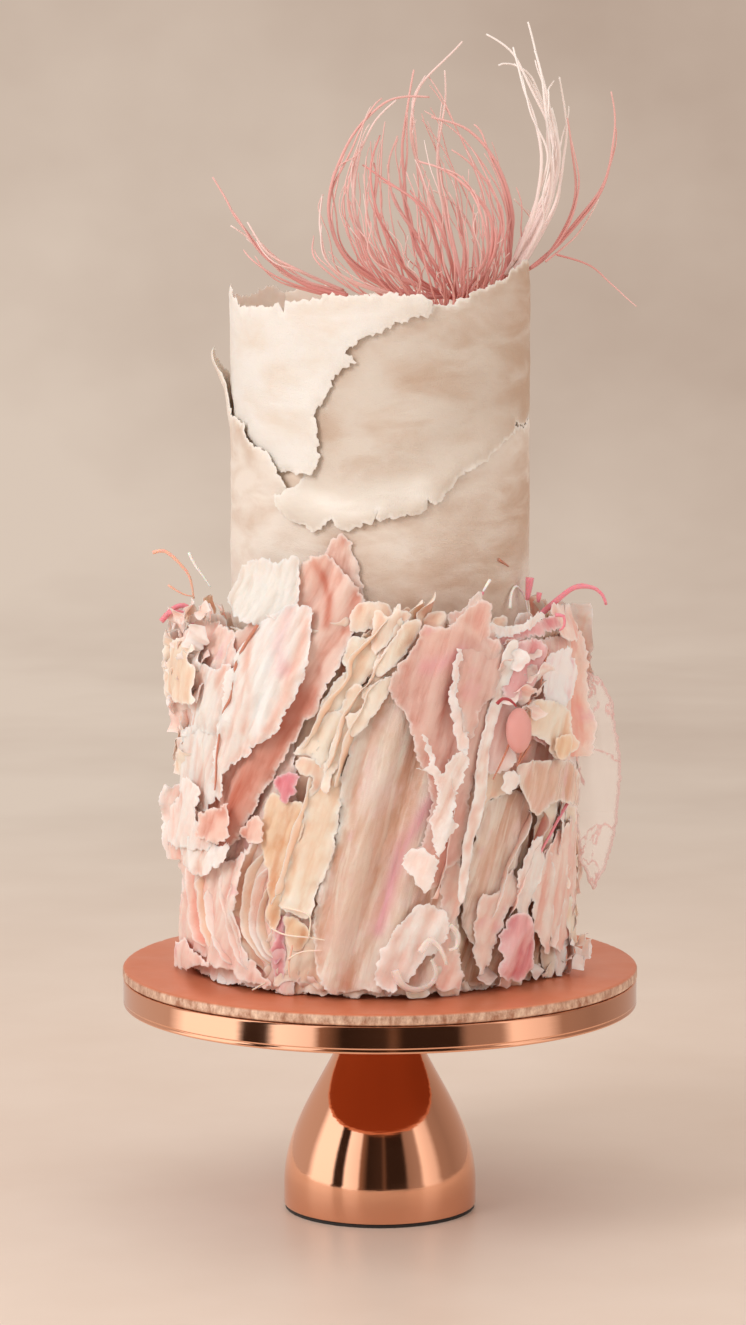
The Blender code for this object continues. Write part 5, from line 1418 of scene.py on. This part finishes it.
# The loose threads: wisps, stems and jelly-like loops of coloured sugar that stick out between the
# sheets, pulled by hand. Each row: look, radius, the patch of the front view that shows it, whether
# it lies at a depth or at a stand from the tier, which, and its centre line in that patch.
STRAND_SIDES = 6
THREAD_FALL = 14.0
THREAD_WOBBLE = 0.7
THREAD_LOOKS = {
    "rose": ((0.82, 0.30, 0.36), "petal_pink"), "red": ((0.40, 0.06, 0.07), "petal_pink"),
    "stem": ((0.56, 0.25, 0.17), "peach_wafer"), "peach": ((0.90, 0.52, 0.40), "peach_wafer"),
    "pale": ((0.93, 0.76, 0.66), "cream_wafer"), "white": ((0.95, 0.91, 0.88), "white_wafer"),
    "curl": ((0.95, 0.84, 0.80), "glossy_wafer"),
}
THREADS = (
    ("peach", 1.0, "left", "depth", -25, [(10, 50), (60, 45), (120, 95), (160, 150), (175, 235)]),
    ("white", 0.7, "left", "depth", -30, [(155, 50), (180, 100), (245, 190)]),
    ("peach", 0.6, "left", "depth", -25, [(72, 180), (130, 215), (170, 225)]),
    ("rose", 1.6, "left", "depth", -20, [(45, 325), (100, 270), (150, 268), (172, 340), (150, 405)]),
    ("rose", 1.1, "left", "depth", -22, [(60, 300), (110, 285), (160, 300)]),
    ("stem", 0.9, "left", "stand", 23, [(430, 340), (350, 480), (325, 620), (290, 700), (270, 850),
        (258, 1000)]),
    ("pale", 0.55, "left", "stand", 21, [(530, 1470), (600, 1485), (640, 1510), (632, 1590)]),
    ("pale", 0.5, "left", "stand", 20, [(480, 1550), (540, 1580), (640, 1590), (700, 1600)]),
    ("pale", 0.5, "left", "stand", 20, [(550, 1680), (600, 1650), (690, 1640)]),
    ("pale", 0.5, "left", "stand", 18, [(410, 1800), (460, 1770)]),
    ("peach", 0.5, "left", "stand", 19, [(570, 1620), (556, 1700), (560, 1750)]),
    ("stem", 0.7, "right", "stand", 25, [(670, 440), (655, 510), (642, 580)]),
    ("stem", 0.85, "right", "stand", 24, [(600, 640), (540, 760), (490, 880), (450, 960)]),
    ("stem", 0.8, "right", "stand", 24, [(600, 820), (548, 905)]),
    ("stem", 0.7, "right", "stand", 24, [(580, 815), (553, 890)]),
    ("white", 0.9, "right", "stand", 14, [(440, 160), (425, 185), (412, 210)]),
    ("rose", 0.9, "right", "stand", 14, [(412, 210), (395, 235), (372, 268)]),
    ("white", 0.8, "right", "stand", 6, [(520, 275), (525, 215), (545, 185), (575, 220), (592, 290)]),
    ("rose", 1.7, "right", "depth", -30, [(640, 300), (720, 230), (780, 190), (850, 190), (890, 220),
        (903, 258)]),
    ("rose", 0.9, "right", "depth", -28, [(650, 285), (730, 215), (790, 180), (845, 185), (880, 205)]),
    ("rose", 1.0, "right", "depth", -60, [(700, 300), (735, 305), (737, 345), (718, 362)]),
    ("white", 0.5, "right", "stand", 25, [(300, 330), (370, 380), (450, 468)]),
    ("rose", 1.0, "right", "stand", 14, [(780, 1300), (830, 1390), (852, 1430), (862, 1490)]),
    ("rose", 0.9, "right", "stand", 17, [(752, 1048), (690, 1160), (640, 1260), (600, 1400)]),
    ("rose", 2.2, "right", "depth", -35, [(600, 150), (595, 200), (590, 240)]),
    ("rose", 1.5, "right", "depth", -35, [(638, 210), (632, 250)]),
    ("stem", 0.9, "right", "stand", 6.5, [(472, 78), (495, 92), (516, 106)]),
    ("red", 1.0, "right", "stand", 31, [(468, 655), (490, 636), (520, 640), (545, 665)]),
    ("curl", 2.2, "right", "stand", 21, [(60, 1720), (85, 1775), (140, 1800), (200, 1780), (225, 1730),
        (205, 1680)]),
    ("curl", 1.8, "right", "stand", 22, [(160, 1650), (200, 1600), (245, 1640), (268, 1700)]),
    ("curl", 1.8, "right", "stand", 20, [(280, 1540), (312, 1580), (305, 1630), (275, 1640)]),
)


def strands(name, runs, material, squash=1.0):
    """Tapered threads as one mesh. A run is its centre line, its thickest radius and its tints at
    both ends."""
    verts, faces, tints = [], [], []
    for line, radius, tint_low, tint_high in runs:
        first = len(verts)
        count = len(line)
        side = Vector((0.3, 1.0, 0.2))
        for i, spot in enumerate(line):
            ahead = (line[min(count - 1, i + 1)] - line[max(0, i - 1)]).normalized()
            side = (side - ahead * side.dot(ahead)).normalized()
            other = ahead.cross(side)
            share = i / (count - 1)
            here = radius * (1.0 - 0.55 * share ** 1.5)
            for k in range(STRAND_SIDES):
                turn = math.tau * k / STRAND_SIDES
                verts.append((spot + (side * math.cos(turn) * squash + other * math.sin(turn)) * here) * MM)
                tints.append(tint_low + (tint_high - tint_low) * share)
        faces += [tuple(first + i for i in face) for face in ring_faces(count - 1, STRAND_SIDES)]
        faces.append(tuple(range(first, first + STRAND_SIDES))[::-1])
        faces.append(tuple(range(len(verts) - STRAND_SIDES, len(verts))))
    mesh = bpy.data.meshes.new(name)
    mesh.from_pydata([tuple(v) for v in verts], [], faces)
    mesh.attributes.new("tint", "FLOAT", "POINT").data.foreach_set("value", np.array(tints, np.float32))
    mesh.shade_smooth()
    return placed(name, mesh, material)


def thread_places(patch, where, value, spots):
    """Places of a thread's points, at a depth or at a stand from the tier."""
    if where == "depth":
        return at_depth(patch, spots, [value] * len(spots))
    return [around(bearing, LOWER_RADIUS + value - fallen(height, THREAD_FALL), CAKE_BASE + height) / MM
            for bearing, height in on_cake(patch, spots, value, THREAD_FALL)]


for look, (colour, slot) in THREAD_LOOKS.items():
    jelly = look == "curl"
    material, tree, shader = finish(look + " thread", colour, 0.3)
    feed(tree, shader, {"Coat Weight": 1.0 if jelly else 0.2, "Alpha": 0.5 if jelly else 1.0,
                        "Subsurface Weight": 0.4, "Subsurface Scale": 0.003})
    runs = [(drawn_line(thread_places(patch, where, value, spots), THREAD_WOBBLE, 500 + i), radius, 0.0, 0.0)
            for i, (kind, radius, patch, where, value, spots) in enumerate(THREADS) if kind == look]
    dress(strands(look + "_threads", runs, material, 0.35 if jelly else 1.0), slot)


# The clear film: a stiff sheet of gelatine, clear with pink creases, that stands out from the
# right-hand side and faces the front.
clear, tree, shader = finish("clear film", (0.96, 0.90, 0.87), 0.12)
masks = put(tree, "ShaderNodeGroup", {"node_tree": sheet_masks},
            {"Streak Scale": 0.06, "Streak Stretch": 0.5}).outputs
veins = spread(tree, maths(tree, "ABSOLUTE", maths(tree, "SUBTRACT", masks["Streak"], 0.5)), 0.020, 0.005)
pinkish = maths(tree, "MAXIMUM", veins, spread(tree, masks["Rim"], 0.25, 0.8, 0.0, 0.6))
veiled = maths(tree, "MAXIMUM", spread(tree, masks["Rim"], 0.3, 0.75, 0.14, 0.9),
               spread(tree, veins, 0, 1, 0.14, 0.6))
feed(tree, shader, {"Base Color": blended(tree, pinkish, (0.97, 0.88, 0.85, 1), (0.88, 0.58, 0.56, 1)),
                    "Alpha": veiled, "Coat Weight": 1.0})
film_corners = [(99, 61), (98.2, 100), (98.5, 143), (108.1, 145), (116.1, 133.6), (119.4, 114.3),
                (121.5, 101.4), (120.5, 77.1), (116.6, 56), (108.7, 37.5), (103.9, 43)]
FILM_STEP, FILM_TEAR, FILM_GRAIN = 0.7, 0.8, 1.4
# Where the film's inner edge is and how far behind the cake's middle it stands
FILM_INNER_EDGE = 98.0
FILM_BACK = 4.0
film_outline = outline_points([Vector(corner) for corner in film_corners], FILM_STEP, FILM_TEAR)
points, faces, depth = filled(film_outline, FILM_GRAIN)
verts = []
for point in points:
    bow = (FILM_BACK + 0.02 * (point.x - FILM_INNER_EDGE) ** 2
           + 1.2 * ridged(point.x / 14, point.y / 25, 41.0))
    verts.append(Vector((point.x, bow, CAKE_BASE + point.y)) * MM)
film = shell("gelatine_film", verts, faces, depth, [0.5] * len(points), points, WAFER_THICKNESS, clear,
             1.0, 1.6)
dress(film, "clear_film", "clear_film")


# The tuft: boiled sugar pulled into fine threads while it is warm, bent into a loose nest on a
# small mound. The threads are coral where they gather and pale at their tips.
TUFT_CENTRE = Vector((32.0, -6.0, 0.0))
GOLDEN_ANGLE = 2.39996
DOME_THREADS = 25
FINE_THREADS = 70
THREAD_POINTS = 40
TUFT_FLOOR = 448.6
TUFT_REACH = 127.6
TUFT_LOWEST = 450.5
TUFT_HIGHEST = 594.2
# Tints at both ends of each look
THREAD_TINTS = {"bold": (0.0, 0.40), "dark": (0.0, 0.12), "soft": (0.2, 0.75), "white": (0.75, 1.0)}
# Look, radius, how far back its middle bows, how many thinner ones follow it, and its line in the
# top patch of the front view
DRAWN_THREADS = (
    ("bold", 0.95, -14, 2, [(560, 640), (430, 622), (330, 560), (290, 470), (295, 380), (340, 280),
        (400, 215), (450, 192), (510, 195)]),
    ("bold", 1.0, 6, 2, [(600, 640), (670, 600), (692, 520), (690, 430), (660, 340), (600, 270),
        (515, 238)]),
    ("bold", 0.85, -24, 1, [(585, 650), (630, 600), (652, 520), (640, 450), (590, 390), (530, 350),
        (485, 335)]),
    ("dark", 0.8, -30, 1, [(570, 640), (540, 560), (500, 450), (440, 395), (365, 350)]),
    ("bold", 0.85, 4, 2, [(570, 650), (500, 560), (465, 470), (455, 380), (452, 290), (465, 200),
        (475, 135)]),
    ("soft", 0.8, 8, 2, [(580, 645), (560, 560), (530, 460), (490, 360), (470, 260), (490, 170),
        (585, 70)]),
    ("soft", 0.75, 12, 1, [(590, 640), (560, 500), (535, 400), (530, 300), (548, 200), (545, 135)]),
    ("soft", 0.8, -10, 2, [(560, 640), (450, 600), (380, 540), (345, 450), (345, 350), (380, 260),
        (440, 200)]),
    ("soft", 0.7, -22, 2, [(550, 640), (420, 630), (300, 580), (270, 500), (268, 410)]),
    ("bold", 0.6, -28, 1, [(540, 640), (380, 640), (260, 560), (255, 500)]),
    ("soft", 0.6, 16, 1, [(600, 645), (720, 560), (740, 480), (700, 420)]),
    ("bold", 0.7, -34, 1, [(585, 640), (640, 540), (620, 440), (585, 370)]),
    ("dark", 0.65, -30, 1, [(570, 640), (560, 560), (540, 500), (500, 440), (470, 400)]),
    ("bold", 0.75, 2, 1, [(600, 640), (650, 560), (670, 470), (650, 400), (600, 340), (560, 310)]),
    ("dark", 0.75, -26, 2, [(560, 640), (480, 600), (420, 520), (390, 430), (380, 350), (400, 280)]),
    ("bold", 0.7, -4, 2, [(575, 640), (530, 580), (480, 500), (430, 420), (420, 340), (440, 280)]),
    ("soft", 0.6, 20, 1, [(600, 645), (620, 560), (600, 480), (560, 430), (520, 400)]),
    ("white", 0.9, 2, 2, [(680, 590), (740, 480), (790, 370), (780, 270), (745, 190), (700, 100),
        (635, 55)]),
    ("white", 0.85, 6, 2, [(690, 590), (760, 470), (795, 350), (775, 240), (735, 150), (690, 120),
        (665, 122)]),
    ("white", 0.9, -2, 2, [(700, 580), (770, 450), (800, 330), (780, 220), (755, 120), (730, 27)]),
    ("white", 0.9, -6, 2, [(705, 585), (760, 480), (785, 380), (775, 280), (765, 180), (745, 90)]),
    ("white", 0.8, 10, 1, [(690, 590), (720, 500), (770, 400), (790, 300), (770, 200), (790, 155)]),
    ("white", 0.8, 14, 1, [(720, 570), (790, 430), (815, 300), (812, 220), (800, 150)]),
    ("white", 0.85, -10, 1, [(700, 560), (745, 450), (760, 340), (745, 240), (720, 170), (700, 85)]),
    ("white", 1.0, 0, 1, [(710, 560), (770, 430), (795, 300), (785, 220)]),
    ("bold", 0.8, 12, 1, [(735, 575), (800, 520), (870, 440), (905, 370), (925, 270), (915, 180)]),
    ("bold", 0.75, 6, 1, [(710, 590), (770, 550), (820, 470), (838, 390), (825, 300), (818, 240)]),
    ("soft", 0.5, 16, 0, [(770, 560), (840, 500), (890, 420)]),
    ("bold", 0.45, 14, 0, [(795, 545), (870, 570), (915, 610), (972, 660)]),
    ("bold", 0.8, 0, 1, [(330, 635), (240, 615), (150, 550), (85, 470), (60, 420), (28, 372)]),
    ("soft", 0.7, 4, 1, [(325, 630), (200, 590), (120, 520), (68, 480)]),
    ("soft", 0.75, -4, 1, [(320, 625), (220, 580), (150, 540), (105, 470)]),
    ("bold", 0.6, -8, 1, [(300, 640), (180, 600), (120, 560), (95, 535)]),
    ("soft", 0.6, 8, 1, [(335, 640), (255, 615), (180, 560), (115, 500)]),
)

sugar, tree, shader = finish("sugar thread", (0.88, 0.50, 0.46), 0.5)
tint = put(tree, "ShaderNodeAttribute", {"attribute_name": "tint"}, {}).outputs["Fac"]
tone = blended(tree, spread(tree, tint, 0.0, 0.5), (0.72, 0.28, 0.26, 1), (0.90, 0.58, 0.54, 1))
tone = blended(tree, spread(tree, tint, 0.5, 1.0), tone, (0.97, 0.91, 0.87, 1))
feed(tree, shader, {"Base Color": tone, "Subsurface Weight": 0.15, "Subsurface Radius": (1.0, 0.8, 0.7),
                    "Subsurface Scale": 0.002})


def dome_thread(i, count):
    """Start, two pulls and end of one of the threads that bow out and meet above the mound."""
    turn = i * GOLDEN_ANGLE
    out = Vector((math.cos(turn), math.sin(turn), 0.0))
    spread_by = 0.45 + 0.55 * math.sqrt((i + 0.5) / count)
    start = TUFT_CENTRE + out * 4.0 + Vector((0, 0, 451))
    out.y *= 0.75
    low = TUFT_CENTRE + out * spread_by * (48 - 6 * out.x) + Vector((0, 0, 455))
    high = Vector((17, -4, 512)) + out * spread_by * (73 - 5 * out.x)
    tip = Vector((16, -2, 562 + 10 * math.sin(1.7 * i))) + out * 5
    return start, low, high, tip


def pulled(pulls, share, wobble, seed):
    """Points along the first share of a curve, with a little unevenness."""
    line = geometry.interpolate_bezier(*[Vector(p) for p in pulls], 200)
    last = THREAD_POINTS - 1
    line = [line[round(199 * share * k / last)].copy() for k in range(THREAD_POINTS)]
    for k, spot in enumerate(line):
        step = wander(0.11 * k, seed, 51.0)
        step.z *= 0.5
        spot += wobble * (k / last) * step
    return line


runs = []
for i in range(DOME_THREADS):
    share = 0.62 + 0.38 * math.fmod(i * 0.618, 1.0)
    runs.append((pulled(dome_thread(i, DOME_THREADS), share, 5.0, i), 0.62, 0.0, 0.45))
for i in range(FINE_THREADS):
    seed = 100 + 7.31 * i
    pulls = [p + 26.0 * wander(seed, k, 61.0) * (k > 0)
             for k, p in enumerate(dome_thread(0.37 + i * 1.7, FINE_THREADS * 1.7))]
    share = 0.35 + 0.55 * math.fmod(i * 0.7548, 1.0)
    runs.append((pulled(pulls, share, 8.0, seed), 0.36 + 0.26 * math.fmod(i * 0.5698, 1.0), 0.0,
                 0.25 + 0.6 * math.fmod(i * 0.414, 1.0)))
for i, (look, radius, bow, followers, spots) in enumerate(DRAWN_THREADS):
    tint_low, tint_high = THREAD_TINTS[look]
    shares = [k / (len(spots) - 1) for k in range(len(spots))]
    depths = [TUFT_CENTRE.y + bow * (4 * share * (1 - share) + 0.35 * share) for share in shares]
    places = [Vector((min(TUFT_REACH, place.x), place.y, min(TUFT_HIGHEST, max(TUFT_LOWEST, place.z))))
              for place in at_depth("top", spots, depths)]
    for m in range(followers + 1):
        seed = 400 + 10 * i + m
        near = [p + m * min(k, 3) * 2.4 * wander(seed, 1.3 * k, 71.0) for k, p in enumerate(places)]
        line = drawn_line(near, 1.5 + 1.5 * m, seed, 3.0)
        line = line[:max(8, round(len(line) * (1.0 - 0.16 * m)))]
        runs.append((line, 1.2 * radius * (1.0 - 0.22 * m), tint_low, tint_high))
dress(strands("sugar_threads", runs, sugar), "sugar_thread", "tuft")
mound = turned("sugar_mound", [(0, 5.5), (4.5, 4.6), (8, 2.2), (9, 0), (0, 0)], 40, sugar)
mound.location = (TUFT_CENTRE.x * MM, TUFT_CENTRE.y * MM, TUFT_FLOOR * MM)
dress(mound, "sugar_thread")
